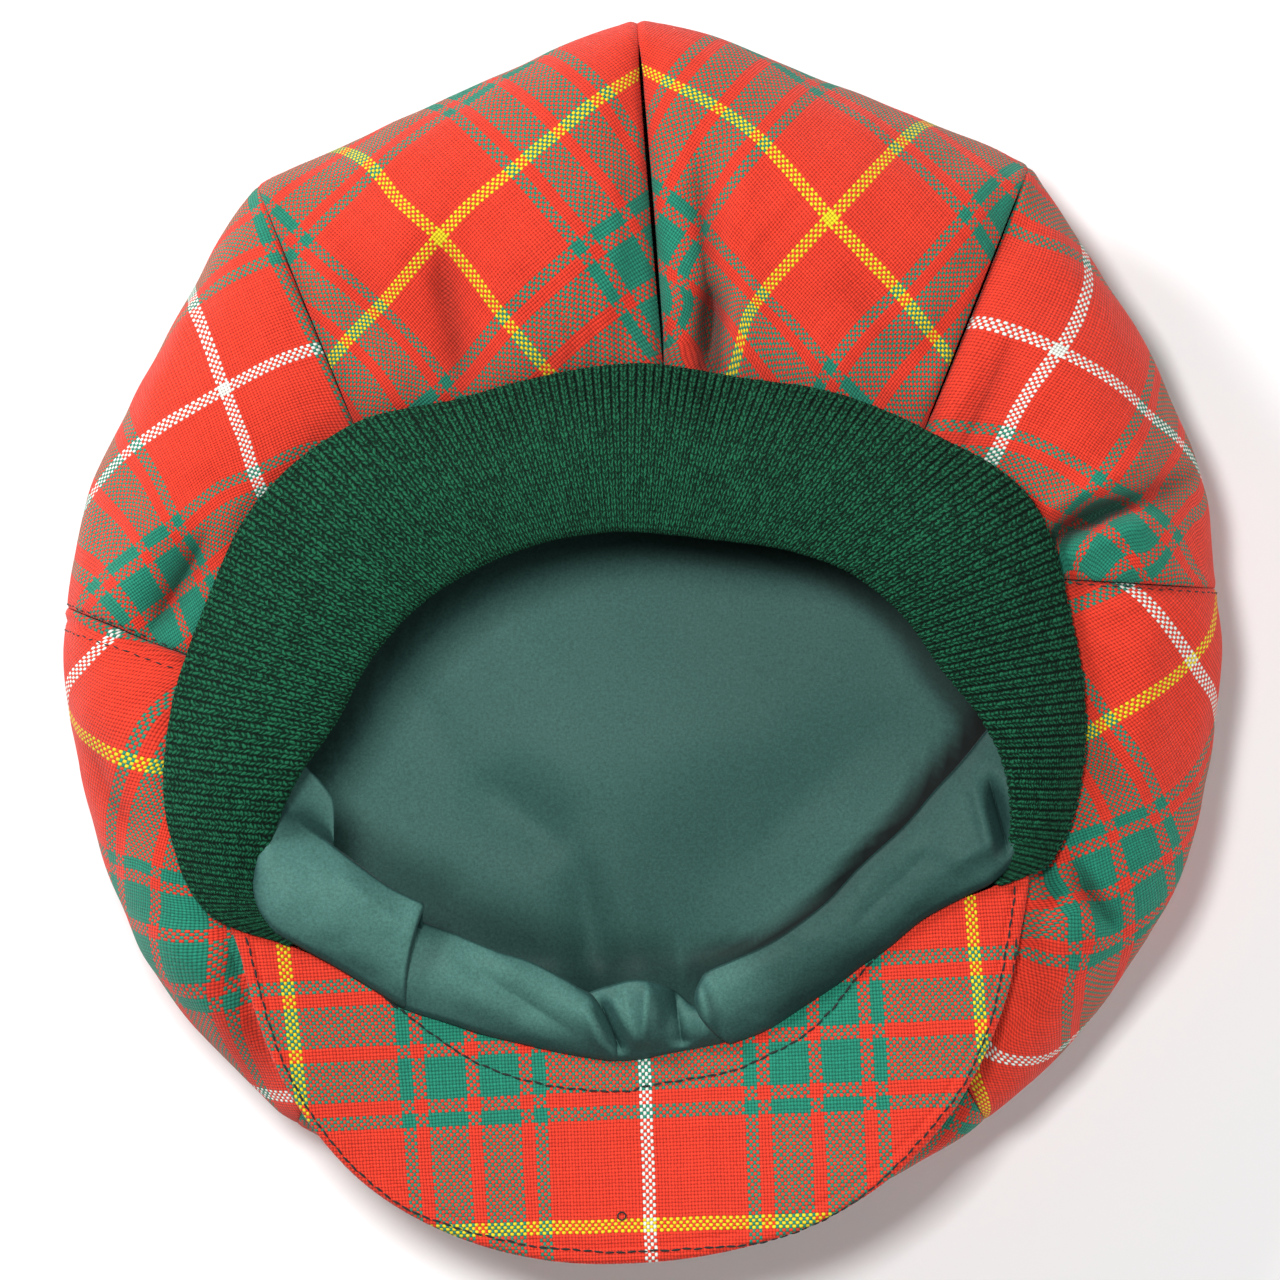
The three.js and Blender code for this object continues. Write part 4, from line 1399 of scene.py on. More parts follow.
    def build_panel(self, panel: int, finishes: Finishes) -> None:
        """Makes one panel of cloth.

        Args:
            panel: the panel's number.
            finishes: the cap's materials.
        """
        cut = self.panels[panel]
        arc = np.radians(self.seams[panel + 1].edge - self.seams[panel].edge)
        spread = np.linspace(-1, 1, self.columns + 1)
        column = 0.5 + 0.5 * np.sign(spread) * (1 - (1 - np.abs(spread)) ** 1.25)
        low = np.linspace(0, 1, self.underside_rows, endpoint=False)
        high = 1 + np.linspace(0, 1, self.upper_rows + 1) ** 0.85
        way = np.concatenate([low, high])[None, :]
        radius = np.maximum(self.tip_radius, np.minimum(way / self.flat_share, 1.4) * self.flat_radius)
        inset = self.seam_gap / 2 / (radius * arc)
        share = lerp(inset, 1 - inset, column[:, None])
        points = self.surface(panel, share, way)
        threads = self.threads(self.base(panel, share, way), self.underside_rows, cut)
        piece = grid_mesh(f"tartan_panel_{cut.name}", points, Way.AS_LAID, threads=threads)
        # Painted shade: darkens the cloth in its folds, beside its seams and against the band.
        add_values(piece, "painted_shade", self.painted_shade(panel, share, way))
        thicken(piece, self.cloth)
        finish_piece(piece, finishes.tartan, Slot.TARTAN, (f"crown_panel_{cut.name}",))
        declare_sheet(piece, points)

    def painted_shade(self, panel: int, share: Numbers, way: Numbers) -> Numbers:
        """How much painted shade places get in the folds, beside the seams and against the band, from 0 to 1.

        Args:
            panel: the panel's number.
            share: places across the panel, 0 to 1.
            way: places from the tip at 0 to the rim at 2.

        Returns:
            The painted shade's share.
        """
        share, way = np.broadcast_arrays(share, way)
        point = self.base(panel, share, way)
        sunk = sum(np.maximum(fold.drop(point), 0) for fold in self.folds)
        _, seam = self.across(panel, share, point)
        deep = smooth(sunk / self.darkest_fold) ** 1.3
        deep += self.seam_shade * np.exp(-((seam / 2.2) ** 2)) * smooth((way - 1.1) / 0.5)
        deep += self.rim_shade * np.exp(-(((2 - way) / 0.07) ** 2))
        return np.clip(deep, 0, 1) * smooth((way - 1) / 0.1)

    def build_button(self, finishes: Finishes) -> None:
        """Makes the covered button: a low dome of cloth gathered under its rim.

        Args:
            finishes: the cap's materials.
        """
        step = np.linspace(0, self.button.end, 57)[None, :]
        turn = np.linspace(0, 360, 97)[:-1][:, None]
        reach = self.button.read("reach", step)
        pleat = self.button_pleat_depth * np.sin(np.radians(turn * self.button_pleats))
        reach = np.maximum(reach + pleat * smooth((step - 2.4) / 1.2) * (reach > 1), 0)
        points = round_from(self.centre, turn, reach, self.button.read("height", step))
        closed = np.concatenate([points, points[:1]])
        threads = (closed[..., :2] - np.array(self.centre)) / THREAD_PITCH + 16.0
        piece = grid_mesh("covered_button", points, Way.TURNED, ring_columns=True, threads=threads)
        apply_modifier(piece, "WELD", merge_threshold=0.02 * MM)
        piece.data.shade_smooth()
        finish_piece(piece, finishes.tartan, Slot.TARTAN, ("crown_button",))

    def build(self, finishes: Finishes) -> None:
        """Makes the panels and the button.

        Args:
            finishes: the cap's materials.
        """
        for panel in range(len(self.panels)):
            self.build_panel(panel, finishes)
        self.build_button(finishes)


@dataclass
class Lining:
    """The satin bag inside the crown."""

    spread_share: float = 0.5
    spread_limit: float = 27
    floor: float = 9.6
    rim_inset: float = 3.4
    rim_drop: float = 3.1
    cloth: float = 0.6
    wall_share: float = 0.62
    columns: int = 30
    rows: int = 92
    middle: tuple[float, float] = (-0.3, -13.2)
    lift: float = 0.9
    tucks: int = 17
    tuck_height: float = 0.9
    flat_radius: float = 34
    valley_width: float = 12
    valley_depth: float = 4.8
    # Where and how dark the painted shadow on the lining lies, beside the strip and under the band.
    strip_start: float = 2.4
    band_shade_depth: float = 0.72
    band_reach: float = 5.5
    full_shade: float = 0.3
    line_points: int = 320

    slack = Wrinkles(0.8, 46, 2.2)
    crumple = Wrinkles(0.5, 17, 9.1)
    shade = Table(
        "at depth reach",
        (2.4, 0.45, 10.0),
        (9.0, 0.5, 12.0),
        (16.0, 0.55, 11.0),
        (19.5, 0.7, 7.0),
        (21.0, 0.92, 3.4),
        (24.0, 0.97, 4.2),
        (27.0, 0.98, 6.4),
        (29.0, 0.98, 7.0),
    )
    wall = Table(
        "share out drop",
        (0.0, 0.0, 0.0),
        (0.2, 0.34, 0.16),
        (0.42, 0.76, 0.34),
        (0.62, 1.0, 0.56),
        (0.84, 0.8, 0.79),
        (1.0, 0.3, 0.97),
    )
    folds = (
        Dent(-29.1, -42.1, -38, 26, 7.0, 2.6),
        Dent(0.0, -76.0, 4, 150, 24.0, 5.6),
        Dent(-12.6, -70.0, -80, 36, 5.0, 2.6),
        Dent(16.0, -58.0, -104, 60, 13.0, 1.0),
        Dent(-50.0, -22.0, -58, 60, 14.0, 2.0),
        Dent(40.0, -38.0, 44, 60, 12.0, 1.8),
        Dent(10.0, 8.0, 12, 70, 18.0, 1.4),
    )

    def build(self, crown: Crown, finishes: Finishes) -> None:
        """Makes the lining.

        Args:
            crown: the crown that it hangs in.
            finishes: the cap's materials.
        """
        share = np.linspace(0, 1, self.columns, endpoint=False)
        spans = [crown.edge(panel, share) for panel in range(len(crown.panels))]
        edge = np.concatenate([point for point, _ in spans])
        bearing = np.concatenate([rim for _, rim in spans])
        rim = rim_point(bearing, self.rim_inset, -self.rim_drop)
        outward = edge - rim
        outward[:, 2] = 0
        spread = np.minimum(np.linalg.norm(outward, axis=-1) * self.spread_share, self.spread_limit)
        outward = unit(outward)
        down = np.linspace(0, 1, self.rows + 1)
        on_wall = np.minimum(down / self.wall_share, 1)
        out, drop = self.wall.read("out", on_wall), self.wall.read("drop", on_wall)
        depth = rim[:, 2] - self.floor
        points = rim[:, None, :] + outward[:, None, :] * (out[None, :] * spread[:, None])[..., None]
        points[..., 2] = rim[:, 2][:, None] - drop[None, :] * depth[:, None]
        on_floor = np.clip((down - self.wall_share) / (1 - self.wall_share), 0, 1)[None, :, None]
        middle = np.array([*self.middle, self.floor])
        heel = points[:, down <= self.wall_share][:, -1:]
        floor = lerp(heel, middle, on_floor)
        floor[..., 2] = lerp(heel[..., 2], self.floor, smooth(on_floor[..., 0] / 0.3))
        points = np.where(on_floor > 0, floor, points)
        soft = self.slack.height + self.slack.rise(points) + self.crumple.rise(points)
        tuck = self.tuck_height * np.sin(np.radians(bearing * self.tucks))[:, None]
        tuck = tuck * (1 - smooth(down / 0.25))[None, :]
        points[..., 2] += (soft + tuck) * smooth(down / 0.2)[None, :] + self.lift
        sunk = sum(fold.drop(points) for fold in self.folds) * smooth((down - self.wall_share) / 0.1)[None, :]
        away = np.hypot(points[..., 0] - crown.centre[0], points[..., 1] - crown.centre[1])
        lowest = self.floor - self.valley_depth * smooth((away - self.flat_radius) / self.valley_width)
        points[..., 2] = np.maximum(points[..., 2] - sunk, np.minimum(points[..., 2], lowest))
        points[:, -1] = points[:, -1].mean(axis=0)
        piece = grid_mesh("satin_bag", points, Way.AS_LAID, ring_columns=True)
        # Painted shadow beside the strip and under the band, kept on the points for the satin's colour.
        add_values(piece, "painted_shade", self.painted_shade(points))
        apply_modifier(piece, "WELD", merge_threshold=0.01 * MM)
        thicken(piece, self.cloth)
        finish_piece(piece, finishes.satin, Slot.SATIN, ("satin_lining",))
        declare_sheet(piece, points, ring=True)

    def painted_shade(self, points: Numbers) -> Numbers:
        """How much painted shadow places get beside the strip and under the band, from 0 to 1.

        Args:
            points: the lining's points in millimetres.

        Returns:
            One number for each point.
        """
        at = np.linspace(self.strip_start, Sweatband.course.end, self.line_points)
        strip = np.stack([Sweatband.course.read(name, at) for name in ("inner_x", "inner_y")], axis=-1)
        bearing = np.linspace(RibBand.free.start, RibBand.free.end, self.line_points)
        band = round_from(OPENING, bearing, RibBand.free.read("reach", bearing), 0 * bearing)
        away, nearest = nearest_on(points, strip)
        reach = self.shade.read("reach", at[nearest])
        by_strip = self.shade.read("depth", at[nearest]) * (1 - smooth(away / reach - self.full_shade))
        away, _ = nearest_on(points, band)
        by_band = self.band_shade_depth * (1 - smooth(away / self.band_reach - self.full_shade))
        return 1 - (1 - by_strip) * (1 - by_band)


@dataclass
class RibBand:
    """The ribbed band, knitted double, with its fold at the free edge."""

    wales: int = 165
    wale_steps: int = 6
    course_pitch: float = 1.35
    half_thickness: float = 2.1
    rib_depth: float = 1.0
    arch: float = 2.4
    face_rows: int = 26
    fold_rows: int = 7
    hem_rows: int = 4
    lean_at_ends: tuple[float, float] = (-1.6, 4.6)

    patches = Wrinkles(0.5, 13, 2.6)
    sway = Wrinkles(0.35, 22, 4.4)
    unevenness = Wrinkles(0.16, 5, 8.2)
    round_section = Table(
        "place rise turn",
        (0, 0, 0),
        (1, 1, 0),
        (1.3, 1, 1),
        (2.3, 0, 1),
        (2.6, 0, 2),
    )
    grooves = Table(
        "bearing rim free",
        (-26, 0.45, 0.35),
        (-12, 0.8, 0.6),
        (12, 0.85, 0.55),
        (32, 0.8, 0.3),
        (55, 0.75, 0.14),
        (75, 1.2, 0.1),
        (100, 1.3, 0.1),
        (118, 0.9, 0.08),
        (140, 0.35, 0.07),
        (165, 0.2, 0.08),
        (190, 0.25, 0.12),
        (213, 0.3, 0.2),
    )

    sewn = Table(
        "bearing out rise",
        (-24.2, 0.3, 5.0),
        (-21, 1.4, 4.8),
        (-18.8, 2.2, 4.4),
        (-14, 1.9, 3.2),
        (-8, 1.4, 2.4),
        (0, 1.4, 2.4),
        (180, 1.4, 2.4),
        (195, 1.8, 2.8),
        (202.6, 2.8, 4.4),
        (207.3, 2.5, 5.0),
        (212.4, 0.2, 5.0),
    )
    free = Table(
        "bearing reach height",
        (-26, 92.0, 62.0),
        (-20, 91.6, 65.0),
        (-14, 90.0, 68.0),
        (-6, 85.8, 72.5),
        (0, 80.9, 75.0),
        (10, 72.4, 77.0),
        (20, 68.0, 78.0),
        (35, 61.2, 78.0),
        (50, 53.5, 78.0),
        (65, 47.6, 78.0),
        (80, 45.4, 78.0),
        (95, 45.7, 78.0),
        (110, 47.2, 78.0),
        (125, 50.0, 78.0),
        (140, 54.5, 78.0),
        (155, 60.3, 78.0),
        (170, 66.8, 77.5),
        (180, 72.1, 76.0),
        (190, 83.0, 72.5),
        (196, 89.6, 69.2),
        (202, 95.4, 66.4),
        (207, 96.2, 65.2),
        (213, 92.6, 64.2),
    )

    def section(self, bearing: Numbers, round_it: Numbers) -> tuple[Numbers, Numbers]:
        """Shapes the band's face.

        Args:
            bearing: degrees round the opening.
            round_it: 0 to 1 up the outer face, 1 to 1.3 over the fold, 1.3 to 2.3 down the inner face,
                and 2.3 to 2.6 round the sewn edge.

        Returns:
            Points and unit normals.
        """
        share = (bearing - self.sewn.start) / (self.sewn.end - self.sewn.start)
        inside = smooth(np.minimum(share, 1 - share) / 0.06)
        edge_bearing = bearing + lerp(*self.lean_at_ends, share) * inside
        half = self.half_thickness * lerp(0.5, 1, inside)
        sewn = rim_point(bearing, -self.sewn.read("out", bearing), self.sewn.read("rise", bearing))
        reach, height = (self.free.read(name, edge_bearing) for name in ("reach", "height"))
        free = round_from(OPENING, edge_bearing, reach + half, height - half)
        lean = free - sewn
        length = np.linalg.norm(lean, axis=-1)
        outward = sewn - np.array([*OPENING, 0])
        outward[..., 2] = 0
        outward = unit(outward)
        beside = np.stack([-outward[..., 1], outward[..., 0], np.zeros_like(length)], axis=-1)
        up = unit(lean)
        normal = unit(np.cross(beside, up))
        corners = self.round_section.columns
        rise = np.interp(round_it, corners["place"], corners["rise"])
        turn = np.pi * np.interp(round_it, corners["place"], corners["turn"])
        face = np.cos(turn)[..., None] * normal + np.sin(turn)[..., None] * up
        arch = self.arch * 4 * rise * (1 - rise) * smooth(length / 20)
        middle = sewn + lean * rise[..., None] + normal * arch[..., None]
        return middle + face * half[..., None], face

    def build(self, finishes: Finishes) -> None:
        """Makes the band with its wales.

        Args:
            finishes: the cap's materials.
        """
        stations = self.wales * self.wale_steps + 1
        wale = np.linspace(0, self.wales, stations)
        bearing = lerp(self.sewn.start, self.sewn.end, wale / self.wales)[:, None]
        corners = self.round_section.columns["place"]
        rows = (self.face_rows, self.fold_rows, self.face_rows // 2, self.hem_rows)
        spans = zip(corners[:-1], corners[1:], rows, strict=True)
        ring = [np.linspace(first, last, count, endpoint=False) for first, last, count in spans]
        bearing, ring = np.broadcast_arrays(bearing, np.concatenate(ring)[None, :])
        points, normal = self.section(bearing, ring)
        inside = 2 * (wale - np.floor(wale)) - 1
        ridge = np.sqrt(np.maximum(1 - inside**2, 0))[:, None] - 1
        patchy = 0.75 + self.patches.rise(points)
        near_rim = 1 - smooth(ring / 0.55)
        strength = lerp(self.grooves.read("free", bearing), self.grooves.read("rim", bearing), near_rim)
        strength = np.clip(strength * patchy, 0, 1)
        wander = self.sway.rise(points) + self.unevenness.rise(points)
        points = points + normal * (self.rib_depth * ridge * strength + wander)[..., None]
        rest = np.linalg.norm(np.diff(points, axis=1), axis=-1).mean(axis=0)
        course = np.concatenate([[0], np.cumsum(rest), [rest.sum() + 2]]) / self.course_pitch
        threads = np.stack(np.broadcast_arrays(wale[:, None], course[None, :]), axis=-1)
        piece = grid_mesh("ribbed_band", points, Way.AS_LAID, ring_rows=True, threads=threads)
        add_values(piece, "rib_strength", strength)
        fill_ends(piece)
        piece.data.shade_smooth()
        finish_piece(piece, finishes.knit, Slot.KNIT, ("rib_band",))


@dataclass
class Peak:
    """The cloth-covered peak, with the grooves that its stitching pulls."""

    board: float = 3.4
    start: float = 204.5
    end: float = 338.6
    columns: int = 180
    rows: int = 64
    edge_stitches: float = 4.0
    edge_groove: float = 0.45
    inner_groove: float = 0.4
    cloth_margin: float = 4
    line_y: float = -110.0

    slack = Wrinkles(0.25, 24, 6.6)
    unevenness = Wrinkles(0.1, 7, 2.9)
    edge = Table(
        "bearing reach climb",
        (204.5, 107.8, 0),
        (210, 109.2, 0.6),
        (217.5, 114.2, 2.0),
        (225, 119.4, 3.6),
        (232, 123.6, 5.0),
        (240, 127.2, 6.2),
        (250, 128.9, 7.2),
        (260, 128.9, 7.8),
        (270, 127.6, 8.0),
        (280, 126.5, 7.8),
        (290, 125.3, 7.2),
        (300, 122.3, 6.2),
        (309, 117.8, 5.0),
        (316, 113.2, 3.6),
        (323, 108.4, 2.2),
        (331, 102.9, 0.8),
        (338.6, 98.9, 0),
    )
    warp_lines = Table(
        "thread place lean",
        (YELLOW_PIVOT, -80.7, -0.118),
        (WHITE_PIVOT, 0.8, -0.034),
        (2 * WHITE_PIVOT, 81.8, -0.09),
    )
    weft_lines = Table("thread place lean", (YELLOW_PIVOT, -138.8, 0.03), (32, -112.0, 0.039))
    inner_line = Table(
        "bearing reach",
        (226, 88.0),
        (235, 89.0),
        (243, 89.1),
        (253, 88.7),
        (270, 86.6),
        (283, 84.9),
        (300, 82.6),
        (314, 79.0),
        (321, 80.0),
    )

    @classmethod
    def face_height(cls, bearing: Numbers, share: Numbers) -> Numbers:
        """The height of the face that looks up, a share of the way from the rim to the outer edge."""
        return RIM.read("height", bearing) + SEAM_GAP + cls.board + cls.edge.read("climb", bearing) * share

    @classmethod
    def room_under(cls, point: Numbers) -> Numbers:
        """Finds how high cloth under the peak may reach.

        Args:
            point: places in millimetres; only x and y count.

        Returns:
            The height that it stays below, or infinity where there is no peak.
        """
        offset = point[..., :2] - np.array(OPENING)
        bearing = np.mod(np.degrees(np.arctan2(offset[..., 1], offset[..., 0])), 360)
        reach = np.linalg.norm(offset, axis=-1)
        inner, outer = RIM.read("reach", bearing), cls.edge.read("reach", bearing)
        share = np.clip((reach - inner) / np.maximum(outer - inner, 1), 0, 1)
        room = cls.face_height(bearing, share) - cls.board - SEAM_GAP
        beside = (bearing > cls.start - cls.cloth_margin) & (bearing < cls.end + cls.cloth_margin)
        return np.where(beside & (reach < outer + cls.cloth_margin), room, np.inf)

    def threads(self, points: Numbers) -> Numbers:
        """Finds the thread numbers over the peak, which its cloth is stretched on with a slight twist.

        Args:
            points: the peak's points.

        Returns:
            Warp and weft numbers at each point.
        """
        x, y = points[..., 0], points[..., 1]
        warp = self.between(self.warp_lines, x, y - self.line_y)
        weft = self.between(self.weft_lines, y, x)
        return np.stack([warp, weft], axis=-1)

    @staticmethod
    def between(lines: Table, where: Numbers, along: Numbers) -> Numbers:
        """Numbers the threads between known ones, by the curve of least degree through them.

        Args:
            lines: a row for each known thread: its number, its place where along is 0, and how it leans.
            where: how far across the threads places lie.
            along: how far along the threads they lie.

        Returns:
            A thread number at each place.
        """
        known = zip(lines.columns["place"], lines.columns["lean"], strict=True)
        places = [place + lean * along for place, lean in known]
        total = np.zeros_like(where)
        for i, thread in enumerate(lines.columns["thread"]):
            weight = np.ones_like(where)
            for j, place in enumerate(places):
                if j != i:
                    weight = weight * (where - place) / (places[i] - place)
            total += weight * thread
        return total

    def build(self, finishes: Finishes) -> bpy.types.Object:
        """Makes the peak as one covered board.

        Args:
            finishes: the cap's materials.

        Returns:
            The peak.
        """
        bearing = np.linspace(self.start, self.end, self.columns + 1)[:, None]
        sweep = np.minimum(bearing - self.start, self.end - bearing)
        tuck = 3 * smooth((sweep - 8) / 8)
        inner = RIM.read("reach", bearing) + SEAM_GAP - tuck
        outer = np.maximum(self.edge.read("reach", bearing), inner + 1.2)
        share = 1 - (1 - np.linspace(0, 1, self.rows)[None, :]) ** 1.6
        half = self.board / 2
        rounded = np.clip((outer - inner) * (1 - share) / half, 0, 1)
        fullness = np.sqrt(1 - (1 - rounded) ** 2)
        reach = lerp(inner, outer, share)
        seamed = self.inner_line.read("reach", bearing)
        groove = self.edge_groove * np.exp(-(((outer - reach - self.edge_stitches) / 0.7) ** 2))
        inner_groove = self.inner_groove * np.exp(-(((reach - seamed) / 0.8) ** 2))
        groove += inner_groove * smooth((sweep - 20) / 8)
        middle = self.face_height(bearing, share) - half
        flat = round_from(OPENING, bearing, reach, middle)
        soft = self.slack.rise(flat) + self.unevenness.rise(flat)
        top = flat.copy()
        top[..., 2] += half * fullness + (soft - groove) * fullness
        under = flat[:, ::-1].copy()
        under[..., 2] -= (half * fullness)[:, ::-1]
        points = np.concatenate([top, under[:, 1:]], axis=1)
        threads = self.threads(np.concatenate([points, points[:, :1]], axis=1))
        piece = grid_mesh("covered_peak", points, Way.TURNED, ring_rows=True, threads=threads)
        fill_ends(piece)
        piece.data.shade_smooth()
        return finish_piece(piece, finishes.tartan, Slot.TARTAN, ("peak",))


@dataclass
class Sweatband:
    """The doubled satin strip along the peak's seam. It is folded over itself in two places.

    The rows of course follow the strip from the left end to the right one. outer is its sewn edge and
    lift that edge's height over the peak; inner is the fold that hangs over the opening; bow moves the
    strip's middle aside. Where a row goes back towards the start, the strip is tucked under itself.
    """

    cloth: float = 0.4
    columns: int = 520
    roll: float = 1.2
    under_inset: float = 5.2
    under_drop: float = 2.2
    swell: float = 2.6
    seam_dip: float = 0.5
    loop_end: float = 2.2
    # Where the painted shade on the strip's right arm starts, and how dark it is.
    right_arm_start: float = 19.2
    right_arm_shade: float = 0.5

    crumple = Wrinkles(0.5, 11, 7.7)
    unevenness = Wrinkles(0.16, 4.5, 3.4)
    folds = (
        Dent(-7.5, -91.9, -66.5, 13, 1.8, 3.2),
        Dent(0.6, -89.3, 86, 18, 2.4, -2.0),
        Dent(8.6, -90.7, 98, 16, 2.6, 2.8),
        Dent(15.0, -87.6, 104, 12, 1.8, -1.4),
        Dent(-30.0, -84.6, -32, 30, 2.6, 1.0),
        Dent(-62.0, -64.0, -40, 24, 3.2, -0.8),
        Dent(60.0, -58.0, 44, 30, 3.0, 0.9),
        Dent(84.4, -42.6, -76, 19, 1.9, 3.4),
        Dent(79.0, -50.0, 30, 14, 2.4, -0.9),
    )

    course = Table(
        "at outer_x outer_y lift inner_x inner_y inner_z bow",
        (0.0, -93.5, -36.0, 0.0, -85.6, -31.7, 61.0, 0),
        (1.0, -92.3, -50.2, 1.0, -84.6, -39.8, 63.0, 0),
        (1.6, -92.0, -61.7, 1.6, -81.1, -43.8, 64.5, 0),
        (2.3, -88.2, -68.1, 2.4, -73.5, -49.0, 65.4, 0),
        (3.0, -81.5, -72.4, 2.0, -66.8, -54.0, 65.6, 0),
        (4.0, -73.2, -77.1, 1.0, -60.4, -58.6, 65.4, 0),
        (5.0, -64.4, -82.4, 0.8, -55.8, -61.0, 64.6, 0),
        (5.8, -57.3, -86.7, 1.9, -52.3, -62.6, 64.4, -1.0),
        (6.0, -56.3, -86.9, 1.5, -51.8, -63.1, 63.6, -1.4),
        (6.2, -57.7, -86.7, 0.5, -53.2, -63.6, 61.2, 0),
        (6.7, -61.1, -84.8, 0.4, -56.8, -62.9, 59.6, 0),
        (7.1, -59.6, -86.0, 0.4, -55.8, -65.7, 58.0, 0),
        (7.5, -54.9, -88.1, 0.5, -52.0, -67.4, 57.6, 0),
        (8.2, -46.5, -90.7, 0.6, -45.1, -69.8, 58.6, 0),
        (9.0, -38.7, -93.3, 0.6, -34.9, -74.0, 58.8, 0),
        (10.0, -29.9, -95.5, 0.6, -27.3, -76.4, 58.2, 0),
        (11.0, -19.6, -97.9, 0.6, -19.2, -80.5, 57.8, 0),
        (12.0, -11.1, -99.3, 0.9, -14.9, -83.1, 57.4, 1.0),
        (12.5, -7.3, -99.8, 1.2, -12.5, -84.3, 56.6, 1.6),
        (12.7, -6.3, -99.8, 0.8, -12.0, -85.0, 55.4, 1.6),
        (12.9, -7.3, -99.8, 0.4, -13.5, -85.5, 54.0, 1.2),
        (13.3, -9.2, -99.5, 0.3, -14.9, -86.0, 53.0, 0.6),
        (13.7, -7.7, -99.8, 0.4, -13.0, -84.3, 54.6, 0.6),
        (14.2, -4.4, -99.8, 0.6, -7.7, -82.4, 56.6, 0),
        (15.0, 0.4, -99.3, 0.8, -0.6, -81.0, 57.4, 0),
        (15.8, 6.1, -98.1, 0.6, 7.0, -83.3, 56.4, 0),
        (16.5, 11.8, -97.1, 0.4, 12.3, -87.4, 54.6, 0),
        (17.2, 17.5, -96.0, 0.3, 17.5, -86.9, 53.6, 0),
        (17.8, 23.2, -94.5, 0.3, 21.8, -82.4, 54.0, 0),
        (18.3, 21.8, -95.0, 0.5, 18.9, -80.0, 55.6, -2.0),
        (18.8, 20.8, -95.5, 0.9, 15.1, -80.2, 57.2, -3.6),
        (19.0, 20.6, -95.7, 1.3, 14.2, -80.7, 58.2, -4.2),
        (19.2, 21.5, -95.5, 1.2, 15.1, -79.3, 59.0, -3.4),
        (20.0, 29.2, -92.6, 0.7, 21.8, -76.2, 60.0, 0),
        (21.0, 37.5, -87.4, 0.6, 29.2, -72.9, 60.8, 0),
        (22.0, 45.8, -81.9, 0.6, 35.8, -68.8, 61.6, 0),
        (23.0, 52.3, -76.9, 0.6, 44.2, -62.1, 62.6, 0),
        (24.0, 58.2, -72.9, 0.6, 51.8, -54.0, 63.6, 0),
        (25.0, 66.3, -66.2, 0.8, 62.3, -44.3, 64.6, 0),
        (26.0, 76.3, -60.7, 1.2, 69.2, -36.2, 64.8, 0),
        (27.0, 82.7, -57.4, 1.6, 75.1, -29.8, 64.4, 0),
        (28.0, 88.0, -52.1, 1.0, 80.4, -23.3, 64.0, 0),
        (29.0, 91.3, -46.7, 0.0, 85.1, -17.4, 63.0, 0),
    )
    loop = Table(
        "at x y z",
        (0.0, -80.8, -29.0, 57.0),
        (1.0, -74.2, -36.2, 58.0),
        (1.6, -73.0, -39.8, 58.5),
        (2.3, -73.2, -49.3, 60.0),
    )

    def face(self, at: Numbers, across: Numbers) -> Numbers:
        """Shapes the strip.

        Args:
            at: places along the strip, as in course.
            across: places from the sewn edge at 0 to the fold at 1, and on to 1.5 under it.

        Returns:
            The points.
        """
        read = self.course.read
        outer_x, outer_y = read("outer_x", at), read("outer_y", at)
        offset = outer_x - OPENING[0], outer_y - OPENING[1]
        bearing = np.mod(np.degrees(np.arctan2(offset[1], offset[0])), 360)
        rim = RIM.read("reach", bearing)
        span = np.maximum(Peak.edge.read("reach", bearing) - rim, 1)
        share = np.clip((np.hypot(*offset) - rim) / span, 0, 1)
        outer_z = Peak.face_height(bearing, share) + read("lift", at)
        outer = np.stack(np.broadcast_arrays(outer_x, outer_y, outer_z), axis=-1)
        inner = np.stack([read(name, at) for name in ("inner_x", "inner_y", "inner_z")], axis=-1)
        over = np.clip(across, 0, 1)
        point = lerp(outer, inner, over[..., None])
        hump = np.sin(np.pi * over**0.8)
        point[..., 0] += read("bow", at) * 4 * over * (1 - over)
        point[..., 2] += self.swell * hump - self.roll * over**7
        point[..., 2] -= self.seam_dip * (1 - smooth(over / 0.06))
        under = np.clip((across - 1) / 0.5, 0, 1)
        back = rim_point(bearing, self.under_inset, -self.under_drop)
        tail = np.stack([self.loop.read(name, at) for name in "xyz"], axis=-1)
        tail = lerp(tail, back, smooth((at - self.loop_end) / 0.5)[..., None])
        hang = lerp(inner, tail, under[..., None])
        hang[..., 2] = lerp(inner[..., 2] - self.roll, tail[..., 2], np.sin(under * np.pi / 2))
        return np.where((across > 1)[..., None], hang, point)

    def build(self, finishes: Finishes) -> None:
        """Makes the strip.

        Args:
            finishes: the cap's materials.
        """
        at = np.linspace(self.course.start, self.course.end, self.columns + 1)[:, None]
        spans = ((0, 0.1, 5), (0.1, 0.86, 25), (0.86, 1, 8), (1, 1.5, 12))
        across = [np.linspace(first, last, count, endpoint=False) for first, last, count in spans]
        across = np.concatenate([*across, [1.5]])[None, :]
        at, across = np.broadcast_arrays(at, across)
        points = self.face(at, across)
        points[..., 2] += self.crumple.rise(points) * smooth(across / 0.2)
        points[..., 2] += self.unevenness.rise(points) * smooth(across / 0.2)
        points[..., 2] -= sum(fold.drop(points) for fold in self.folds) * smooth(across / 0.25)
        piece = grid_mesh("satin_sweatband", points, Way.TURNED)
        # Painted shade on the strip's right arm, which lies in the band's shadow.
        add_values(piece, "painted_shade", self.right_arm_shade * smooth((at - self.right_arm_start) / 2))
        thicken(piece, self.cloth)
        finish_piece(piece, finishes.satin, Slot.SATIN, ("front_sweatband",))
        declare_sheet(piece, points)


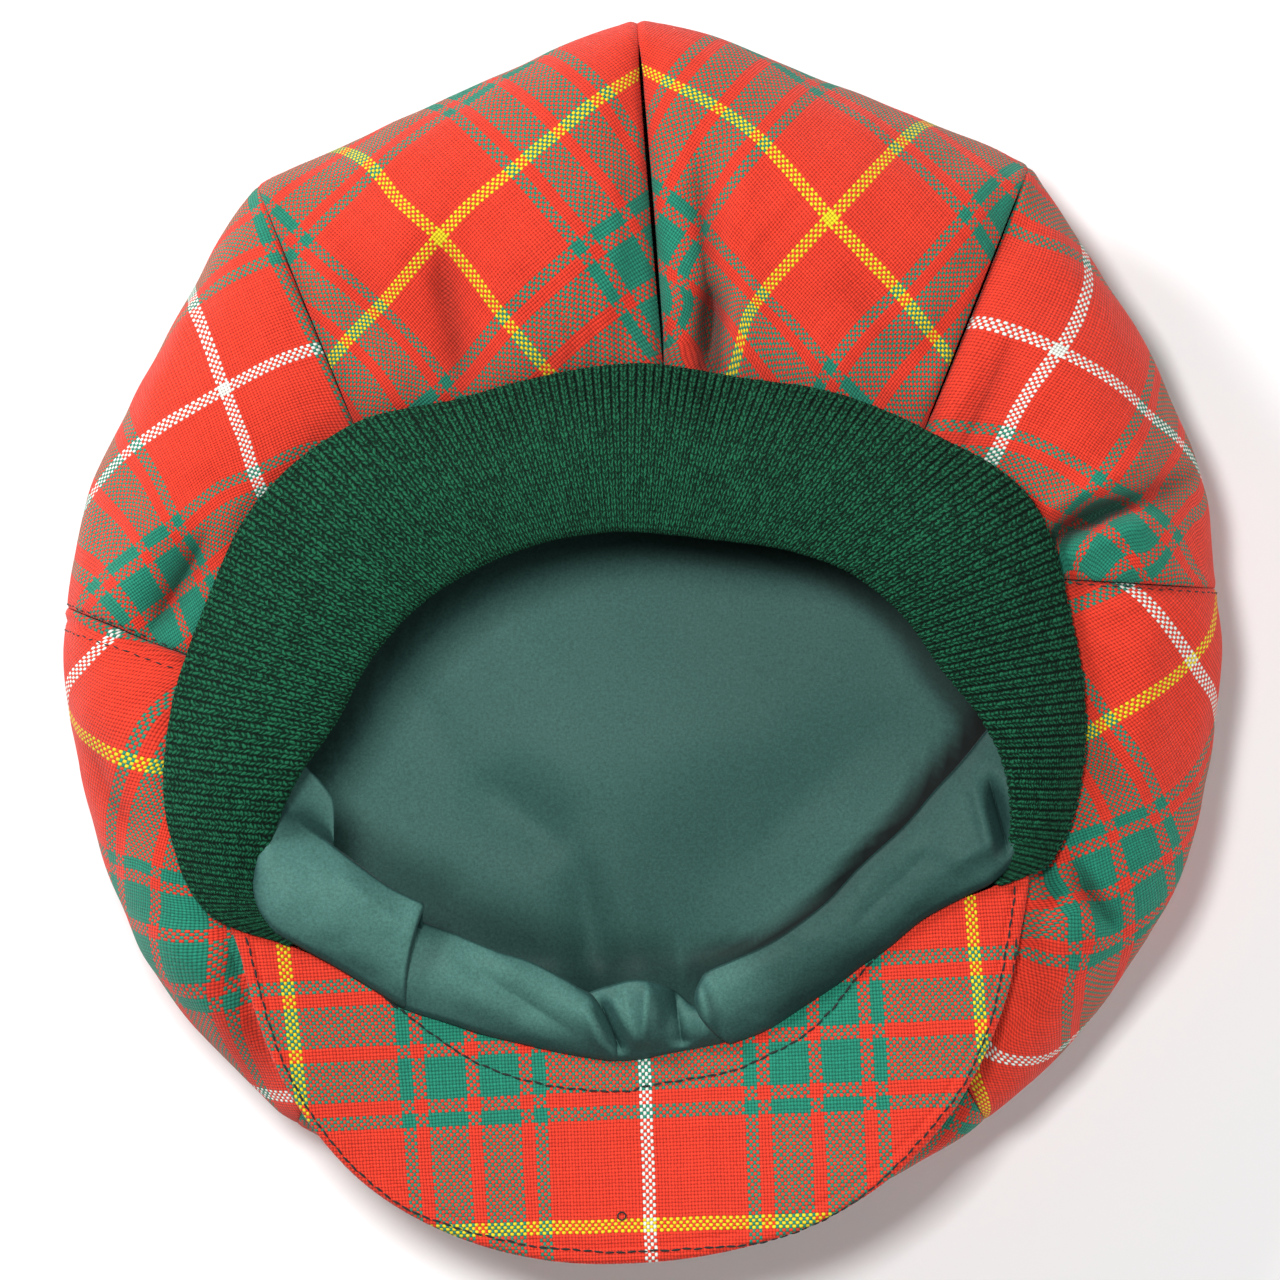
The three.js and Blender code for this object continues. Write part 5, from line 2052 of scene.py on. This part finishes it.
@dataclass(frozen=True)
class Stitch:
    """The sizes of a run's stitches in millimetres, how far each slants, and how far it strays aside."""

    length: float = 2.5
    gap: float = 0.1
    radius: float = 0.3
    slant: float = 0.07
    stray: float = 0.14


def thread_run(name: str, line: Numbers, spec: Stitch, finishes: Finishes) -> None:
    """Sews a run of stitches along a line, as one piece.

    Args:
        name: the piece's name.
        line: points in millimetres that the run passes through.
        spec: the stitches' sizes.
        finishes: the cap's materials.
    """
    steps = np.linalg.norm(np.diff(line, axis=0), axis=-1)
    place = np.concatenate([[0], np.cumsum(steps)])
    count = max(int(place[-1] / (spec.length + spec.gap)), 1)
    starts = np.arange(count) * place[-1] / count
    bpy.ops.mesh.primitive_uv_sphere_add(segments=8, ring_count=6, radius=1)
    ball = bpy.context.object
    shape = np.array([v.co[:] for v in ball.data.vertices])
    faces = [tuple(face.vertices) for face in ball.data.polygons]
    bpy.data.meshes.remove(ball.data)
    chance = np.random.default_rng(len(name))
    points, quads = [], []
    for i, begin in enumerate(starts):
        ends = (begin, begin + spec.length)
        a, b = (np.array([np.interp(end, place, line[:, k]) for k in range(3)]) for end in ends)
        along = unit(b - a)
        aside = unit(np.cross(along, (0, 0, 1)))
        up = np.cross(aside, along)
        slant = spec.slant * (1 if i % 2 else -1)
        along = unit(along + aside * slant)
        half = np.linalg.norm(b - a) / 2 * chance.uniform(0.88, 1.04)
        middle = (a + b) / 2 + aside * chance.uniform(-spec.stray, spec.stray)
        body = middle + shape[:, :1] * along * half + shape[:, 1:2] * aside * spec.radius
        points.append(body + shape[:, 2:] * up * spec.radius)
        quads += [tuple(v + i * len(shape) for v in face) for face in faces]
    mesh = bpy.data.meshes.new(name)
    mesh.from_pydata((np.concatenate(points) * MM).tolist(), [], quads)
    mesh.shade_smooth()
    piece = bpy.data.objects.new(name, mesh)
    bpy.context.collection.objects.link(piece)
    finish_piece(piece, finishes.thread, Slot.KNIT)


def rounded(line: Sequence[tuple[float, float]], steps: int = 12) -> Numbers:
    """Draws a smooth curve through places seen from above.

    Args:
        line: the places.
        steps: how many points there are from one place to the next.

    Returns:
        The curve's points.
    """
    at = np.arange(len(line), dtype=float)
    table = Table("at x y", *[(i, *place) for i, place in zip(at, line, strict=True)])
    where = np.linspace(0, len(line) - 1, (len(line) - 1) * steps + 1)
    return np.stack([table.read("x", where), table.read("y", where)], axis=-1)


@dataclass
class Needlework:
    """The visible stitching: round the peak, along two of the crown's seams, and a tack on the peak."""

    lift: float = 0.12
    tack_radius: float = 0.95
    tack_wire: float = 0.2

    peak_stitch = Stitch()
    seam_stitch = Stitch(1.8, 1.0, 0.2, 0.1, 0.15)
    seam_lines = (("right_seam", 5, 0.992), ("left_seam", 1, 0.992), ("left_welt", 2, 0.038))
    peak_edge = (
        (88.2, -58.3), (86.8, -69.0), (83.7, -85.5), (80.1, -96.9), (75.1, -106.9), (65.6, -118.8),
        (53.9, -130.5), (41.3, -138.3), (26.5, -143.1), (-0.6, -145.0), (-12.0, -145.0), (-26.5, -143.6),
        (-41.3, -140.2), (-54.9, -135.2), (-63.5, -129.5), (-72.3, -120.7), (-79.2, -111.0),
        (-85.8, -98.3), (-89.9, -85.7), (-93.7, -70.2),
    )
    peak_inner = (
        (-59.6, -86.2), (-41.3, -99.3), (-26.8, -104.8), (-14.9, -106.7), (-3.5, -107.4), (-0.6, -106.2),
        (18.9, -102.9), (28.5, -99.3), (41.1, -91.7), (53.7, -76.9), (62.5, -69.3),
    )
    peak_side = ((88.6, -70.7), (87.6, -79.0), (86.0, -86.4))
    tack = (-4.9, -136.7)

    def laid_on(self, piece: bpy.types.Object, line: Numbers) -> Numbers:
        """A line seen from above, laid on a finished piece.

        Args:
            piece: the piece, whose points are in metres.
            line: places in millimetres, count by 2.

        Returns:
            Points a thread's lift over the piece.
        """
        places = []
        for x, y in line:
            hit, spot, _, _ = piece.ray_cast(Vector((x * MM, y * MM, 1)), Vector((0, 0, -1)))
            if hit:
                places.append((x, y, spot.z / MM + self.lift))
        return np.array(places)

    def build(self, crown: Crown, peak: bpy.types.Object, finishes: Finishes) -> None:
        """Sews every run and the tack.

        Args:
            crown: the crown, whose seams are sewn along.
            peak: the finished peak.
            finishes: the cap's materials.
        """
        for name, line in (("edge", self.peak_edge), ("inner", self.peak_inner), ("side", self.peak_side)):
            thread_run(f"stitches_peak_{name}", self.laid_on(peak, rounded(line)), self.peak_stitch, finishes)
        way = np.linspace(1.0, 1.93, 80)
        for name, panel, share in self.seam_lines:
            line = crown.surface(panel, np.full_like(way, share)[None, :], way[None, :])[0]
            line[:, 2] += self.lift
            thread_run(f"stitches_{name}", line, self.seam_stitch, finishes)
        radii = {"major_radius": self.tack_radius * MM, "minor_radius": self.tack_wire * MM}
        bpy.ops.mesh.primitive_torus_add(**radii, major_segments=20, minor_segments=8)
        ring = bpy.context.object
        ring.name = "tack_on_peak"
        spot = self.laid_on(peak, np.array([self.tack]))[0]
        bpy.ops.object.mode_set(mode="EDIT")
        bpy.ops.transform.translate(value=tuple(spot * MM))
        bpy.ops.object.mode_set(mode="OBJECT")
        ring.data.shade_smooth()
        finish_piece(ring, finishes.thread, Slot.KNIT)


@dataclass
class Studio:
    """A pale floor, soft lights and a camera that looks straight down."""

    picture: int = 1280
    pixels_per_mm: float = 4.2
    centre: tuple[float, float] = (642.5, 639.0)
    distance: float = 5.0
    focus_height: float = 0.03
    sensor: float = 36.0
    floor_half: float = 2.5
    ambient: float = 0.13

    lights = (
        ("key", (-0.26, 0.26, 2.0), 0.3, 24),
        ("rake", (-1.3, 1.0, 1.0), 0.5, 30),
        ("fill", (1.3, -0.3, 0.95), 0.7, 9),
    )

    def build(self) -> None:
        """Makes the floor, the lights and the camera."""
        mesh = bpy.data.meshes.new("floor")
        signs = ((-1, -1), (1, -1), (1, 1), (-1, 1))
        corners = [(x * self.floor_half, y * self.floor_half, 0) for x, y in signs]
        mesh.from_pydata(corners, [], [(0, 1, 2, 3)])
        floor = bpy.data.objects.new("floor", mesh)
        bpy.context.collection.objects.link(floor)
        material, nodes, shader = new_material("pale_floor")
        sockets = {"Base Color": (0.94, 0.94, 0.94, 1), "Roughness": 0.9, "Specular IOR Level": 0.1}
        feed(nodes, shader, sockets)
        floor.data.materials.append(material)
        for light in self.lights:
            self.light(*light)
        world = bpy.data.worlds.new("studio")
        bpy.context.scene.world = world
        world.use_nodes = True
        background = world.node_tree.nodes["Background"]
        background.inputs["Color"].default_value = (1, 1, 1, 1)
        background.inputs["Strength"].default_value = self.ambient
        bpy.context.scene.view_settings.view_transform = "Standard"
        self.camera()

    def light(self, name: str, place: tuple[float, float, float], size: float, power: float) -> None:
        """Adds a square soft light that looks at the cap.

        Args:
            name: the light's name.
            place: where it stands, in metres.
            size: the length of its sides in metres.
            power: its power in watts.
        """
        data = bpy.data.lights.new(name, "AREA")
        data.shape = "SQUARE"
        data.size = size
        data.energy = power
        lamp = bpy.data.objects.new(name, data)
        lamp.location = place
        lamp.rotation_euler = Vector(place).to_track_quat("Z", "Y").to_euler()
        bpy.context.collection.objects.link(lamp)

    def camera(self) -> None:
        """Adds the camera over the middle of the picture, with a long lens."""
        middle = self.picture / 2
        x = (middle - self.centre[0]) / self.pixels_per_mm * MM
        y = (self.centre[1] - middle) / self.pixels_per_mm * MM
        field = self.picture / self.pixels_per_mm * MM
        data = bpy.data.cameras.new("camera")
        data.sensor_width = self.sensor
        data.lens = self.sensor * (self.distance - self.focus_height) / field
        data.clip_end = 50
        camera = bpy.data.objects.new("camera", data)
        camera.location = (x, y, self.distance)
        bpy.context.collection.objects.link(camera)
        bpy.context.scene.camera = camera


def main() -> None:
    """Builds the cap piece by piece and then the studio round it."""
    logging.basicConfig(level=logging.INFO, format="%(name)s %(message)s")
    finishes = make_finishes()
    crown = Crown()
    crown.build(finishes)
    Lining().build(crown, finishes)
    RibBand().build(finishes)
    peak = Peak().build(finishes)
    Sweatband().build(finishes)
    Needlework().build(crown, peak, finishes)
    Studio().build()


if __name__ == "__main__":
    main()
